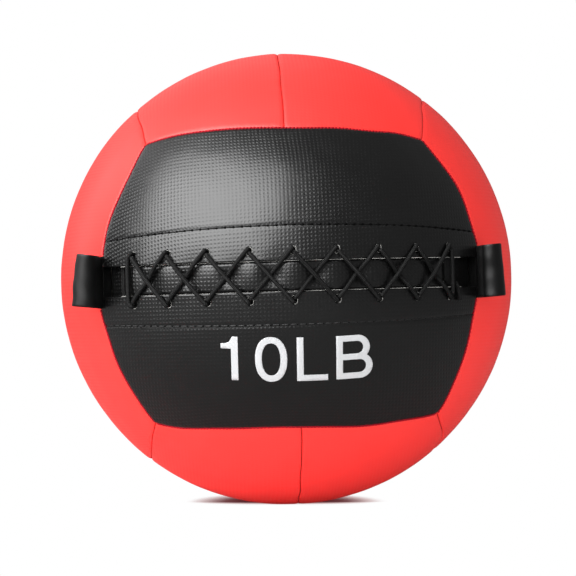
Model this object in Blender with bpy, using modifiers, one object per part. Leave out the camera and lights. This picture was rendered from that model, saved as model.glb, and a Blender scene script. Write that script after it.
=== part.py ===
"""A soft, stuffed wall ball with a laced front opening and two webbing finger loops.

The cover is sewn from twelve panels, two on each face of a rounded cube. The front face is left open
along its middle, over a tongue, and a round lace draws its two flaps together through punched holes.
A webbing loop is sewn into the seam at each end of the lacing. Inside are a liner, the stuffing and
a bag of ballast.

Metres, +Z up, laced face towards -Y. The origin is the middle of the flat that the ball rests on.
"""

import math

import bmesh
import bpy
from mathutils import Matrix, Vector

# Ball
BALL_DIAMETER = 0.3556
FLOOR_PRESS = 0.0015  # the ball's own weight presses its base this far in

# Cover panels
FACE_REACH = math.radians(51.5)  # middle of a face to the middle of its far seam
PANEL_THICKNESS = 0.0018
SEAM_GAP = 0.0004
SEAM_DROP = 0.0012  # how far the stitches draw an edge in
SEAM_ROLL = 0.006  # width over which the cover rolls down to a seam
PANEL_STEPS_LONG = 11
PANEL_STEPS_SHORT = 4
FLAP_STEPS_LONG = 20
FLAP_STEPS_SHORT = 7

# Laced opening
SLIT_HALF_GAP = 0.011
EYELET_PAIRS = 9
EYELET_PITCH = 0.0315
EYELET_MARGIN = 0.0076  # slit edge to the middle of a hole
EYELET_WIDTH = 0.0050
EYELET_LENGTH = 0.0088
BACKING_WIDTH = 0.0215
BACKING_THICKNESS = 0.0008
BACKING_EDGE_INSET = 0.0006
TONGUE_THICKNESS = 0.0018
TONGUE_BULGE = 0.0040  # the filling presses it up into the slit
BULGE_CREST = 0.006  # half the width of the bulge's top
BULGE_FADE = 0.016  # length over which it falls away towards the last holes
BULGE_FILL = 0.3  # share of the bulge that the stuffing follows
TONGUE_MARGIN = 0.006  # the strip at each side where the tongue is sewn to the backing
LACING_END_MARGIN = 0.0095  # side seam to the ends of tongue and backing
SHEET_GAP = 0.0005

# Lace
LACE_DIAMETER = 0.0032
LACE_CLEARANCE = 0.0004
LACE_BEND = 0.0006  # how far a corner of the lace is cut off
LACE_SPREAD = 0.0006  # the two passes through a hole lie this far to its left and right
FAR_PASS = 0.0012  # and this far past its middle and before it, seen from the slit
NEAR_PASS = -0.0022
CROSSING_GAP = 0.0004
CROSSING_RISE = 0.0005
FALLING_LEGS_ON_TOP = 6  # crossings, from the left, whose leg from upper left lies on top
BAR_BOW = 0.0026  # how far the bar at the left end keeps clear of the near passes
JOIN_OFFSET = 0.0145  # from the first holes to the hidden run that joins the rows
TAIL_OFFSET = 0.0055  # from the last holes to the loose tail
TAIL_REACH = 0.0095
TAIL_DRIFT = 0.003

# Webbing finger loops
WEBBING_WIDTH = 0.0385
WEBBING_THICKNESS = 0.0014
LOOP_RADIUS = 0.0085
LOOP_REACH = 0.0122  # hinge line to the middle of the round of the loop
LOOP_LEAN = math.radians(84)  # above the cover, measured from its outer side
ROOT_RADIUS = 0.0017
ROOT_HEIGHT = 0.0012  # hinge line above the cover
NECK_LENGTH = 0.003  # where both layers are sewn together
NECK_RADIUS = 0.0003
ANCHOR_LENGTH = 0.012
WEBBING_CLEARANCE = 0.0003

# Filling
LINER_THICKNESS = 0.001
LINER_GAP = 0.0005
LINER_OPENING_MARGIN = 0.0008
STUFFING_GAP = 0.0004
BALLAST_BAG_DIAMETER = 0.090
BALLAST_BAG_THICKNESS = 0.0012
BALLAST_NECK_DIAMETER = 0.018
BALLAST_GAP = 0.0004

# Facets
SPHERE_SEGMENTS = 24
BAND_STEPS = 24
HOLE_SEGMENTS = 12
ARC_STEPS = 14
ROOT_STEPS = 5
BAG_SEGMENTS = 16
BAG_STEPS = 8
STRIP_STEPS = 2
TAIL_STEPS = 4
SHARP_BEND = math.radians(50)
SMOOTH_ANGLE = math.radians(35)  # gentler edges than this are shaded smooth
WELD_REACH = 0.0001
CUT_OVERRUN = 0.01

RADIUS = BALL_DIAMETER / 2
CENTRE = Vector((0, 0, RADIUS - FLOOR_PRESS))
FULL_TURN = 2 * math.pi
RIGHT_ANGLE = math.pi / 2

# Every seam between two faces lies in a plane: outward part = EDGE_OFFSET + EDGE_SLOPE * long part.
CORNER_PART = RADIUS / math.sqrt(3)
SEAM_OUT = RADIUS * math.cos(FACE_REACH)
SEAM_LONG = RADIUS * math.sin(FACE_REACH)
EDGE_SLOPE = (SEAM_OUT - CORNER_PART) / (SEAM_LONG - CORNER_PART)
EDGE_OFFSET = CORNER_PART * (1 - EDGE_SLOPE)
EDGE_STRETCH = math.sqrt(1 + EDGE_SLOPE**2)
LONG_ARC = RADIUS * FACE_REACH
SHORT_ARC = RADIUS * (RIGHT_ANGLE - FACE_REACH)

LACE_RADIUS = LACE_DIAMETER / 2
EYELET_ROW = SLIT_HALF_GAP + EYELET_MARGIN
LAST_EYELET = EYELET_PAIRS - 1
BACKING_TOP = RADIUS - PANEL_THICKNESS - SHEET_GAP
BACKING_UNDERSIDE = BACKING_TOP - BACKING_THICKNESS
LACE_OVER = RADIUS + LACE_CLEARANCE + LACE_RADIUS
LACE_UNDER = BACKING_UNDERSIDE - LACE_CLEARANCE - LACE_RADIUS
TONGUE_TOP = LACE_UNDER - LACE_RADIUS - LACE_CLEARANCE
TONGUE_HALF_WIDTH = SLIT_HALF_GAP + BACKING_EDGE_INSET + BACKING_WIDTH
BULGE_FOOT = EYELET_ROW + NEAR_PASS - LACE_RADIUS - LACE_CLEARANCE
LACING_REACH = FACE_REACH - LACING_END_MARGIN / RADIUS

SEAM_SAG = RADIUS - math.sqrt(RADIUS**2 - (WEBBING_WIDTH / 2) ** 2)
COVER_DEPTH = SEAM_DROP + PANEL_THICKNESS
ANCHOR_TOP = ROOT_RADIUS + WEBBING_CLEARANCE
ANCHOR_FOOT = ROOT_HEIGHT + COVER_DEPTH + SEAM_SAG + SHEET_GAP
LINER_RADIUS = RADIUS - COVER_DEPTH - LINER_GAP
STUFFING_RADIUS = LINER_RADIUS - LINER_THICKNESS - STUFFING_GAP
RECESS_RADIUS = TONGUE_TOP - TONGUE_THICKNESS - SHEET_GAP
OPENING_REACH = FACE_REACH + (ANCHOR_LENGTH + LINER_OPENING_MARGIN) / RADIUS
OPENING_HALF_WIDTH = TONGUE_HALF_WIDTH + LINER_OPENING_MARGIN

for thing in list(bpy.data.objects):
    bpy.data.objects.remove(thing, do_unlink=True)

ball = bpy.data.collections.new("wall_ball")
cutters = bpy.data.collections.new("cutters")
cutters.hide_render = True
bpy.context.scene.collection.children.link(ball)
bpy.context.scene.collection.children.link(cutters)


def finish(name, colour, roughness, metallic=0.0):
    """A plain material for one kind of stuff."""
    material = bpy.data.materials.new(name)
    material.use_nodes = True
    shader = material.node_tree.nodes["Principled BSDF"]
    shader.inputs["Base Color"].default_value = (*colour, 1)
    shader.inputs["Roughness"].default_value = roughness
    shader.inputs["Metallic"].default_value = metallic
    material.diffuse_color = (*colour, 1)
    return material


RED_VINYL = finish("red_vinyl", (0.78, 0.035, 0.03), 0.45)
BLACK_VINYL = finish("black_vinyl", (0.022, 0.022, 0.022), 0.42)
SCRIM = finish("white_scrim", (0.72, 0.71, 0.68), 0.9)
CORD = finish("black_cord", (0.02, 0.02, 0.02), 0.7)
WEBBING = finish("black_webbing", (0.025, 0.024, 0.023), 0.5)
LINING = finish("grey_lining", (0.35, 0.34, 0.32), 0.9)
FIBRE = finish("textile_fill", (0.5, 0.47, 0.42), 1.0)
CANVAS = finish("ballast_canvas", (0.42, 0.36, 0.26), 0.9)
GRIT = finish("ballast_grit", (0.16, 0.15, 0.14), 0.8)


def add(name, data, material, place=None, collection=ball):
    """A named object of the given data, with its material."""
    thing = bpy.data.objects.new(name, data)
    if material:
        data.materials.append(material)
    if place:
        thing.matrix_world = place
    collection.objects.link(thing)
    return thing


def mesh_from(shape, name):
    """A mesh datablock from a bmesh, shaded smooth between faces that meet gently."""
    mesh = bpy.data.meshes.new(name)
    shape.to_mesh(mesh)
    shape.free()
    mesh.shade_smooth()
    mesh.set_sharp_from_angle(angle=SMOOTH_ANGLE)
    return mesh


def add_cutter(name, shape):
    """A hidden helper that only cuts others."""
    bmesh.ops.recalc_face_normals(shape, faces=shape.faces)
    thing = add(name, mesh_from(shape, name), None, collection=cutters)
    thing.hide_render = True
    thing.display_type = "WIRE"
    return thing


def cut(thing, cutter):
    """Takes the cutter's space out of an object."""
    boolean = thing.modifiers.new(cutter.name, "BOOLEAN")
    boolean.operation = "DIFFERENCE"
    boolean.object = cutter


# Cover panels
def panel_point(turn, rise, split):
    """A point of half a face, as its parts outward, long and across the face.

    turn runs from -1 to 1 between the two end seams, and rise from 0 at the split to 1 at the far
    seam. Two slanting planes, one for each, cross the sphere there, so the borders lie in the seams.
    """
    slope = math.tan(turn * math.atan(1 / EDGE_SLOPE))
    inset = SEAM_GAP / 2 * EDGE_STRETCH
    pivot = EDGE_OFFSET + inset
    base = split * (1 - rise) + (EDGE_OFFSET - inset) * rise
    lift = EDGE_SLOPE * rise
    square = 1 + slope**2 + lift**2
    linear = 2 * (base * lift - pivot * slope**2)
    rest = (pivot * slope) ** 2 + base**2 - RADIUS**2
    outward = (math.sqrt(linear**2 - 4 * square * rest) - linear) / (2 * square)
    return outward, (outward - pivot) * slope, base + lift * outward


def seam_drop(distance):
    """How far the cover lies under the sphere at this distance from a seam: a quarter-round roll."""
    rest = max(0, 1 - distance / SEAM_ROLL)
    return SEAM_DROP * (1 - math.sqrt(1 - rest**2))


def border_lines(steps, arc, rolls_at_start):
    """Places from 0 to 1 along an arc: even steps, and one more within the roll at each seam."""
    roll = SEAM_ROLL / arc
    start = [0, roll / 2, roll] if rolls_at_start else [0]
    end = [1 - roll, 1 - roll / 2, 1]
    between = [start[-1] + (end[0] - start[-1]) * i / steps for i in range(1, steps)]
    return start + between + end


def add_panel(name, material, outward, long, across, laced=False):
    """Half a face: a grid laid on the sphere, rolled down at its seams, with the cover's thickness."""
    split = SLIT_HALF_GAP if laced else SEAM_GAP / 2
    long_steps = FLAP_STEPS_LONG if laced else PANEL_STEPS_LONG
    short_steps = FLAP_STEPS_SHORT if laced else PANEL_STEPS_SHORT
    turns = [2 * share - 1 for share in border_lines(long_steps, 2 * LONG_ARC, True)]
    rises = border_lines(short_steps, SHORT_ARC, not laced)
    shape = bmesh.new()
    bmesh.ops.create_grid(shape, x_segments=len(turns) - 1, y_segments=len(rises) - 1, size=1)
    for corner in shape.verts:
        turn = turns[round((corner.co.x + 1) / 2 * (len(turns) - 1))]
        rise = rises[round((corner.co.y + 1) / 2 * (len(rises) - 1))]
        out_part, long_part, across_part = panel_point(turn, rise, split)
        to_seam = min((1 - abs(turn)) * LONG_ARC, (1 - rise) * SHORT_ARC)
        if not laced:
            to_seam = min(to_seam, rise * SHORT_ARC)
        drawn = (RADIUS - seam_drop(to_seam)) / RADIUS
        corner.co = CENTRE + (outward * out_part + long * long_part + across * across_part) * drawn
    everything = shape.verts[:] + shape.edges[:] + shape.faces[:]
    bmesh.ops.bisect_plane(shape, geom=everything, plane_co=(0, 0, 0), plane_no=(0, 0, 1))
    for corner in shape.verts:
        corner.co.z = max(0, corner.co.z)
    shape.normal_update()
    if sum(face.normal.dot(outward) for face in shape.faces) < 0:
        bmesh.ops.reverse_faces(shape, faces=shape.faces)
    panel = add(name, mesh_from(shape, name), material)
    wall = panel.modifiers.new("cover_thickness", "SOLIDIFY")
    wall.thickness = PANEL_THICKNESS
    wall.offset = -1
    wall.use_even_offset = True
    return panel


LEFT, RIGHT = Vector((-1, 0, 0)), Vector((1, 0, 0))
FRONT, REAR = Vector((0, -1, 0)), Vector((0, 1, 0))
DOWN, UP = Vector((0, 0, -1)), Vector((0, 0, 1))

panels = {}
for face_name, outward, long, halves, material in (
    ("front", FRONT, RIGHT, (("upper", UP), ("lower", DOWN)), BLACK_VINYL),
    ("rear", REAR, RIGHT, (("upper", UP), ("lower", DOWN)), BLACK_VINYL),
    ("left", LEFT, UP, (("front", FRONT), ("rear", REAR)), RED_VINYL),
    ("right", RIGHT, UP, (("front", FRONT), ("rear", REAR)), RED_VINYL),
    ("top", UP, REAR, (("left", LEFT), ("right", RIGHT)), RED_VINYL),
    ("bottom", DOWN, REAR, (("left", LEFT), ("right", RIGHT)), RED_VINYL),
):
    for half_name, across in halves:
        panel_name = f"{face_name}_{half_name}_panel"
        laced = face_name == "front"
        panels[panel_name] = add_panel(panel_name, material, outward, long, across, laced)


# Laced opening
def front_point(azimuth, height, radius):
    """A point over the laced face: azimuth towards +X, height on the cover, distance from the centre."""
    rise = math.asin(height / RADIUS)
    level = radius * math.cos(rise)
    place = Vector((level * math.sin(azimuth), -level * math.cos(azimuth), radius * math.sin(rise)))
    return CENTRE + place


def add_band(heights, reach, surface, thickness):
    """A closed sheet that follows the ball across its laced face.

    heights are its lines up the ball, reach the half angle that it spans, and surface(azimuth, height)
    the distance of its outer side from the ball's centre.
    """
    shape = bmesh.new()
    bmesh.ops.create_grid(shape, x_segments=BAND_STEPS, y_segments=len(heights) - 1, size=1)
    for corner in shape.verts:
        height = heights[round((corner.co.y + 1) / 2 * (len(heights) - 1))]
        azimuth = corner.co.x * reach
        corner.co = front_point(azimuth, height, surface(azimuth, height))
    whole = shape.faces[:]
    shape.normal_update()
    if sum(face.normal.dot(FRONT) for face in whole) < 0:
        bmesh.ops.reverse_faces(shape, faces=whole)
    bmesh.ops.solidify(shape, geom=whole, thickness=thickness)
    bmesh.ops.recalc_face_normals(shape, faces=shape.faces)
    return shape


def eyelet_azimuth(index):
    return (index - (EYELET_PAIRS - 1) / 2) * EYELET_PITCH / RADIUS


def bulge_share(azimuth, height):
    """1 on the crest of the bulge in the slit, and 0 from where the lace runs behind the flaps."""
    beside = (BULGE_FOOT - abs(height)) / (BULGE_FOOT - BULGE_CREST)
    before_end = (eyelet_azimuth(LAST_EYELET) - abs(azimuth)) * RADIUS / BULGE_FADE
    return max(0, min(1, beside, before_end))


def tongue_surface(azimuth, height):
    """The tongue bulges in the slit, lies low under the lace and rises to the backing at its sides."""
    across = abs(height)
    ramp_end = TONGUE_HALF_WIDTH - TONGUE_MARGIN
    ramp_start = EYELET_ROW + EYELET_LENGTH / 2
    if across >= ramp_end:
        return BACKING_UNDERSIDE - SHEET_GAP
    if across > ramp_start:
        share = (across - ramp_start) / (ramp_end - ramp_start)
        return TONGUE_TOP + (BACKING_UNDERSIDE - SHEET_GAP - TONGUE_TOP) * share
    return TONGUE_TOP + TONGUE_BULGE * bulge_share(azimuth, height)


holes = bmesh.new()
hole_depth = 2 * (PANEL_THICKNESS + SHEET_GAP + BACKING_THICKNESS + CUT_OVERRUN / 2)
for index in range(EYELET_PAIRS):
    for row in (-EYELET_ROW, EYELET_ROW):
        middle = front_point(eyelet_azimuth(index), row, RADIUS)
        turned = (middle - CENTRE).to_track_quat("Z", "Y").to_matrix().to_4x4()
        made = bmesh.ops.create_cone(
            holes,
            cap_ends=True,
            segments=HOLE_SEGMENTS,
            radius1=EYELET_WIDTH / 2,
            radius2=EYELET_WIDTH / 2,
            depth=hole_depth,
            matrix=Matrix.Rotation(FULL_TURN / HOLE_SEGMENTS / 2, 4, "Z"),
        )
        for corner in made["verts"]:
            corner.co.y += math.copysign((EYELET_LENGTH - EYELET_WIDTH) / 2, corner.co.y)
            corner.co = Matrix.Translation(middle) @ turned @ corner.co
eyelet_cutter = add_cutter("eyelet_cutter", holes)

strip_start = SLIT_HALF_GAP + BACKING_EDGE_INSET
for side_name, side in (("upper", 1), ("lower", -1)):
    lines = [side * (strip_start + BACKING_WIDTH * i / STRIP_STEPS) for i in range(STRIP_STEPS + 1)]
    strip = add_band(lines, LACING_REACH, lambda azimuth, height: BACKING_TOP, BACKING_THICKNESS)
    backing = add(f"{side_name}_eyelet_backing", mesh_from(strip, "backing"), SCRIM)
    cut(backing, eyelet_cutter)
    cut(panels[f"front_{side_name}_panel"], eyelet_cutter)

tongue_side = [
    BULGE_CREST,
    BULGE_FOOT,
    EYELET_ROW + EYELET_LENGTH / 2,
    TONGUE_HALF_WIDTH - TONGUE_MARGIN,
    TONGUE_HALF_WIDTH,
]
tongue_lines = [-height for height in reversed(tongue_side)] + [0] + tongue_side
tongue = add_band(tongue_lines, LACING_REACH, tongue_surface, TONGUE_THICKNESS)
add("lacing_tongue", mesh_from(tongue, "lacing_tongue"), BLACK_VINYL)


# Lace
def lace_place(row, index, far):
    """The azimuth and height at which the lace passes through a hole.

    row is 1 above the slit and -1 below it. Two passes share a hole: the far one leads to the leg that
    comes from the left, and the near one, closer to the slit, to the leg that leaves to the right.
    """
    aside = -LACE_SPREAD if far else LACE_SPREAD
    height = EYELET_ROW + (FAR_PASS if far else NEAR_PASS)
    return eyelet_azimuth(index) + aside / RADIUS, row * height


def over_partner(row, index, far):
    """The pass at the other end of the leg that leaves this one on top of the flaps."""
    if far:
        return (-row, index - 1, False) if index > 0 else (-row, index, True)
    return (-row, index + 1, True) if index < LAST_EYELET else (-row, index, False)


def under_partner(row, index, far):
    """The pass at the other end of the run that leaves this one behind the flap, or nothing.

    A run joins a far pass to the near pass on its right. In the middle of the upper row the passes
    change places, so that one lace makes the whole pattern.
    """
    turning = (1, EYELET_PAIRS // 2)
    step = 1 if far else -1
    if (row, index) == turning:
        return row, index - step, far
    if (row, index + step) == turning:
        return row, index + step, far
    return (row, index + step, not far) if 0 <= index + step <= LAST_EYELET else None


def leg_points(start, end):
    """The lace on top between two passes: over both flap edges, and over or under its crossing."""
    row, index, far = start
    edge = SLIT_HALF_GAP - LACE_RADIUS / 2
    if index == end[1]:
        heights = [EYELET_ROW + NEAR_PASS, edge] if far else [edge]
        bow = -LACE_SPREAD - BAR_BOW if far else LACE_SPREAD
        azimuth = eyelet_azimuth(index) + bow / RADIUS
        signed = [row * height for height in heights] + [-row * height for height in heights[::-1]]
        return [front_point(azimuth, height, LACE_OVER) for height in signed]
    start_azimuth, start_height = lace_place(*start)
    end_azimuth, end_height = lace_place(*end)
    falls = (index < end[1]) == (row > 0)
    on_top = falls == (min(index, end[1]) < FALLING_LEGS_ON_TOP)
    crest = LACE_OVER + CROSSING_RISE
    middle = crest if on_top else crest - LACE_DIAMETER - CROSSING_GAP
    points = []
    for height, level in ((row * edge, LACE_OVER), (0, middle), (-row * edge, LACE_OVER)):
        share = (height - start_height) / (end_height - start_height)
        azimuth = start_azimuth + (end_azimuth - start_azimuth) * share
        points.append(front_point(azimuth, height, level))
    return points


def join_points():
    """The hidden run that joins the rows at the left end, from the lower to the upper near pass."""
    azimuth = eyelet_azimuth(0) - JOIN_OFFSET / RADIUS
    near_height = EYELET_ROW + NEAR_PASS
    edge = SLIT_HALF_GAP - LACE_RADIUS / 2
    heights = (-near_height, -edge, 0, edge, near_height)
    return [front_point(azimuth, height, LACE_UNDER) for height in heights]


def tail_points():
    """The loose end: round the edge of the lower flap, out of the slit and down over the cover."""
    azimuth = eyelet_azimuth(LAST_EYELET) + TAIL_OFFSET / RADIUS
    middle = (LACE_OVER + LACE_UNDER) / 2
    bend = (LACE_OVER - LACE_UNDER) / 2
    points = [front_point(azimuth, -EYELET_ROW - FAR_PASS, LACE_UNDER)]
    for step in range(TAIL_STEPS + 1):
        angle = math.pi * step / TAIL_STEPS
        height = -SLIT_HALF_GAP + bend * math.sin(angle)
        points.append(front_point(azimuth, height, middle - bend * math.cos(angle)))
    end_azimuth = azimuth + TAIL_DRIFT / RADIUS
    points.append(front_point(end_azimuth, -SLIT_HALF_GAP - TAIL_REACH, LACE_OVER))
    return points


def lace_route():
    """From the hidden end at the right of the upper row to the loose tail beside the lower row."""
    here = (1, LAST_EYELET, True)
    azimuth, height = lace_place(*here)
    route = [front_point(azimuth + TAIL_REACH / RADIUS, height, LACE_UNDER)]
    while here:
        there = over_partner(*here)
        route.append(front_point(*lace_place(*here), LACE_UNDER))
        route.append(front_point(*lace_place(*here), LACE_OVER))
        route += leg_points(here, there)
        route.append(front_point(*lace_place(*there), LACE_OVER))
        route.append(front_point(*lace_place(*there), LACE_UNDER))
        here = under_partner(*there)
        if here:
            azimuth = (lace_place(*here)[0] + lace_place(*there)[0]) / 2
            height = (lace_place(*here)[1] + lace_place(*there)[1]) / 2
            route.append(front_point(azimuth, height, LACE_UNDER))
        elif there == (-1, 0, False):
            route += join_points()
            here = (1, 0, False)
    return route + tail_points()


def corners_cut(route):
    """The route with each sharp corner cut off, as a cord can't turn on the spot."""
    softened = [route[0]]
    for before, corner, after in zip(route, route[1:], route[2:]):
        if (corner - before).angle(after - corner) > SHARP_BEND:
            softened.append(corner + (before - corner).normalized() * LACE_BEND)
            softened.append(corner + (after - corner).normalized() * LACE_BEND)
        else:
            softened.append(corner)
    return softened + [route[-1]]


lace_line = corners_cut(lace_route())
lace_curve = bpy.data.curves.new("lace", "CURVE")
lace_curve.dimensions = "3D"
lace_curve.bevel_depth = LACE_RADIUS
lace_curve.bevel_resolution = 2
lace_curve.use_fill_caps = True
lace_spline = lace_curve.splines.new("POLY")
lace_spline.points.add(len(lace_line) - 1)
for spot, place in zip(lace_spline.points, lace_line):
    spot.co = (*place, 1)
    spot.radius = 1
add("lace", lace_curve, CORD)
lace_length = sum((b - a).length for a, b in zip(lace_line, lace_line[1:]))
print(f"lace: {len(lace_line)} points, {lace_length:.3f} m long")


# Webbing loops
def arc(middle, radius, start, end, steps):
    """Points of an arc, both ends included."""
    angles = [start + (end - start) * i / steps for i in range(steps + 1)]
    return [middle + Vector((math.cos(a), math.sin(a))) * radius for a in angles]


def teardrop(near, near_radius, far, far_radius, near_steps, far_steps):
    """Two circles and the straight runs that touch both."""
    line = far - near
    heading = math.atan2(line.y, line.x)
    spread = RIGHT_ANGLE + math.asin((far_radius - near_radius) / line.length)
    wide = arc(far, far_radius, heading - spread, heading + spread, far_steps)
    tight = arc(near, near_radius, heading + spread, heading + FULL_TURN - spread, near_steps)
    return wide + tight


def flat_outline(name, outlines, height):
    """A 2D curve of closed outlines, filled and given its height along Z."""
    curve = bpy.data.curves.new(name, "CURVE")
    curve.dimensions = "2D"
    curve.fill_mode = "BOTH"
    curve.extrude = height / 2
    for outline in outlines:
        spline = curve.splines.new("POLY")
        spline.points.add(len(outline) - 1)
        for spot, place in zip(spline.points, outline):
            spot.co = (place.x, place.y, 0, 1)
        spline.use_cyclic_u = True
    return curve


def box_shape(low, high):
    """A box between two corners."""
    shape = bmesh.new()
    size = high - low
    placed = Matrix.Translation((low + high) / 2) @ Matrix.Diagonal((*size, 1))
    bmesh.ops.create_cube(shape, size=1, matrix=placed)
    return shape


for side_name, side in (("left", -1), ("right", 1)):
    seam_out = Vector((side * math.sin(FACE_REACH), -math.cos(FACE_REACH), 0))
    hinge = CENTRE + seam_out * (RADIUS + ROOT_HEIGHT)
    heading = math.atan2(seam_out.y, seam_out.x) - RIGHT_ANGLE
    place = Matrix.Translation(hinge) @ Matrix.Rotation(heading, 4, "Z")
    outer = -side  # local X that points away from the laced face

    lean = Vector((outer * math.cos(LOOP_LEAN), math.sin(LOOP_LEAN)))
    round_middle = lean * LOOP_REACH
    root = Vector((0, 0))
    outside = teardrop(root, ROOT_RADIUS, round_middle, LOOP_RADIUS, ROOT_STEPS, ARC_STEPS)
    inner_radius = LOOP_RADIUS - WEBBING_THICKNESS
    neck = lean * NECK_LENGTH
    inside = teardrop(neck, NECK_RADIUS, round_middle, inner_radius, ROOT_STEPS, ARC_STEPS)
    loop = flat_outline(f"{side_name}_handle_loop", [outside, inside], WEBBING_WIDTH)
    add(f"{side_name}_handle_loop", loop, WEBBING, place)

    half = WEBBING_THICKNESS
    foot_low = -ANCHOR_FOOT - 2 * WEBBING_THICKNESS
    foot = [
        Vector((-outer * half, foot_low)),
        Vector((outer * ANCHOR_LENGTH, foot_low)),
        Vector((outer * ANCHOR_LENGTH, -ANCHOR_FOOT)),
        Vector((outer * half, -ANCHOR_FOOT)),
        Vector((outer * half, -ANCHOR_TOP)),
        Vector((-outer * half, -ANCHOR_TOP)),
    ]
    anchor = flat_outline(f"{side_name}_handle_anchor", [foot], WEBBING_WIDTH)
    add(f"{side_name}_handle_anchor", anchor, WEBBING, place)

    slot_half = half + WEBBING_CLEARANCE
    slot_tall = WEBBING_WIDTH / 2 + WEBBING_CLEARANCE
    slot = box_shape(
        Vector((-slot_half, -ANCHOR_FOOT, -slot_tall)), Vector((slot_half, CUT_OVERRUN, slot_tall))
    )
    slot.transform(place)
    slot_cutter = add_cutter(f"{side_name}_slot_cutter", slot)
    for panel_name in ("front_upper_panel", "front_lower_panel", f"{side_name}_front_panel"):
        cut(panels[panel_name], slot_cutter)


# Filling
def ball_shape(radius):
    """A faceted ball about the centre."""
    shape = bmesh.new()
    bmesh.ops.create_uvsphere(
        shape,
        u_segments=SPHERE_SEGMENTS,
        v_segments=SPHERE_SEGMENTS // 2,
        radius=radius,
        matrix=Matrix.Translation(CENTRE),
    )
    return shape


def recess_surface(azimuth, height):
    """The floor of the opening in the filling, which follows part of the tongue's bulge."""
    return RECESS_RADIUS + TONGUE_BULGE * BULGE_FILL * bulge_share(azimuth, height)


opening_side = [BULGE_CREST, BULGE_FOOT, OPENING_HALF_WIDTH]
opening_lines = [-height for height in reversed(opening_side)] + [0] + opening_side
opening_depth = RADIUS - RECESS_RADIUS + CUT_OVERRUN
opening_block = add_band(opening_lines, OPENING_REACH, recess_surface, -opening_depth)
opening_cutter = add_cutter("opening_cutter", opening_block)

liner_inside = add_cutter("liner_inside_cutter", ball_shape(LINER_RADIUS - LINER_THICKNESS))
liner = add("inner_liner", mesh_from(ball_shape(LINER_RADIUS), "inner_liner"), LINING)
cut(liner, opening_cutter)
cut(liner, liner_inside)


def turned(name, profile, material, collection=ball):
    """A solid of revolution about the ball's upright axis, from a profile of (radius, height)."""
    shape = bmesh.new()
    corners = [shape.verts.new((radius, 0, height)) for radius, height in profile]
    for first, second in zip(corners, corners[1:]):
        shape.edges.new((first, second))
    mesh = bpy.data.meshes.new(name)
    shape.to_mesh(mesh)
    shape.free()
    thing = add(name, mesh, material, Matrix.Translation(CENTRE), collection)
    screw = thing.modifiers.new("turn", "SCREW")
    screw.steps = screw.render_steps = BAG_SEGMENTS
    screw.use_merge_vertices = True
    screw.merge_threshold = WELD_REACH
    screw.use_smooth_shade = True
    return thing


def bag_run(radius):
    """(radius, height) from the rim of the bag's neck down to its lowest point."""
    angles = [neck_angle + (math.pi - neck_angle) * i / BAG_STEPS for i in range(BAG_STEPS)]
    return [(radius * math.sin(angle), radius * math.cos(angle)) for angle in angles] + [(0, -radius)]


def flat_topped(run):
    """The same run, closed level across the neck."""
    return [(0, run[0][1])] + run


neck_angle = math.asin(BALLAST_NECK_DIAMETER / BALLAST_BAG_DIAMETER)
bag_outside = BALLAST_BAG_DIAMETER / 2
bag_inside = bag_outside - BALLAST_BAG_THICKNESS
pocket_run = flat_topped(bag_run(bag_outside + STUFFING_GAP))
pocket_cutter = turned("ballast_pocket_cutter", pocket_run, None, cutters)
pocket_cutter.hide_render = True
pocket_cutter.display_type = "WIRE"
turned("ballast_bag", bag_run(bag_inside)[::-1] + bag_run(bag_outside), CANVAS)
turned("ballast_fill", flat_topped(bag_run(bag_inside - BALLAST_GAP)), GRIT)

for side_name, half_low, half_high in (
    ("upper", STUFFING_GAP / 2, BALL_DIAMETER),
    ("lower", -BALL_DIAMETER, -STUFFING_GAP / 2),
):
    reach = Vector((BALL_DIAMETER, BALL_DIAMETER, 0))
    half = box_shape(CENTRE - reach + UP * half_low, CENTRE + reach + UP * half_high)
    half_block = add_cutter(f"{side_name}_half_block", half)
    stuffing_name = f"stuffing_{side_name}"
    stuffing = add(stuffing_name, mesh_from(ball_shape(STUFFING_RADIUS), stuffing_name), FIBRE)
    keep = stuffing.modifiers.new("half", "BOOLEAN")
    keep.operation = "INTERSECT"
    keep.object = half_block
    cut(stuffing, pocket_cutter)
    cut(stuffing, opening_cutter)
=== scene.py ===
# %% [markdown]
# A soft wall ball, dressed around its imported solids. The cover is black and red coated cloth with a fine
# embossed grid, sewn over a hard stuffed ball. The front is laced shut with one round cord, and a webbing
# loop stands at each end of the lacing. Each cell first says what a piece is on the real object, then
# makes it.

# %% The frame
import math

import bmesh
import bpy
import numpy as np
from mathutils import Matrix, Vector, noise


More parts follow.
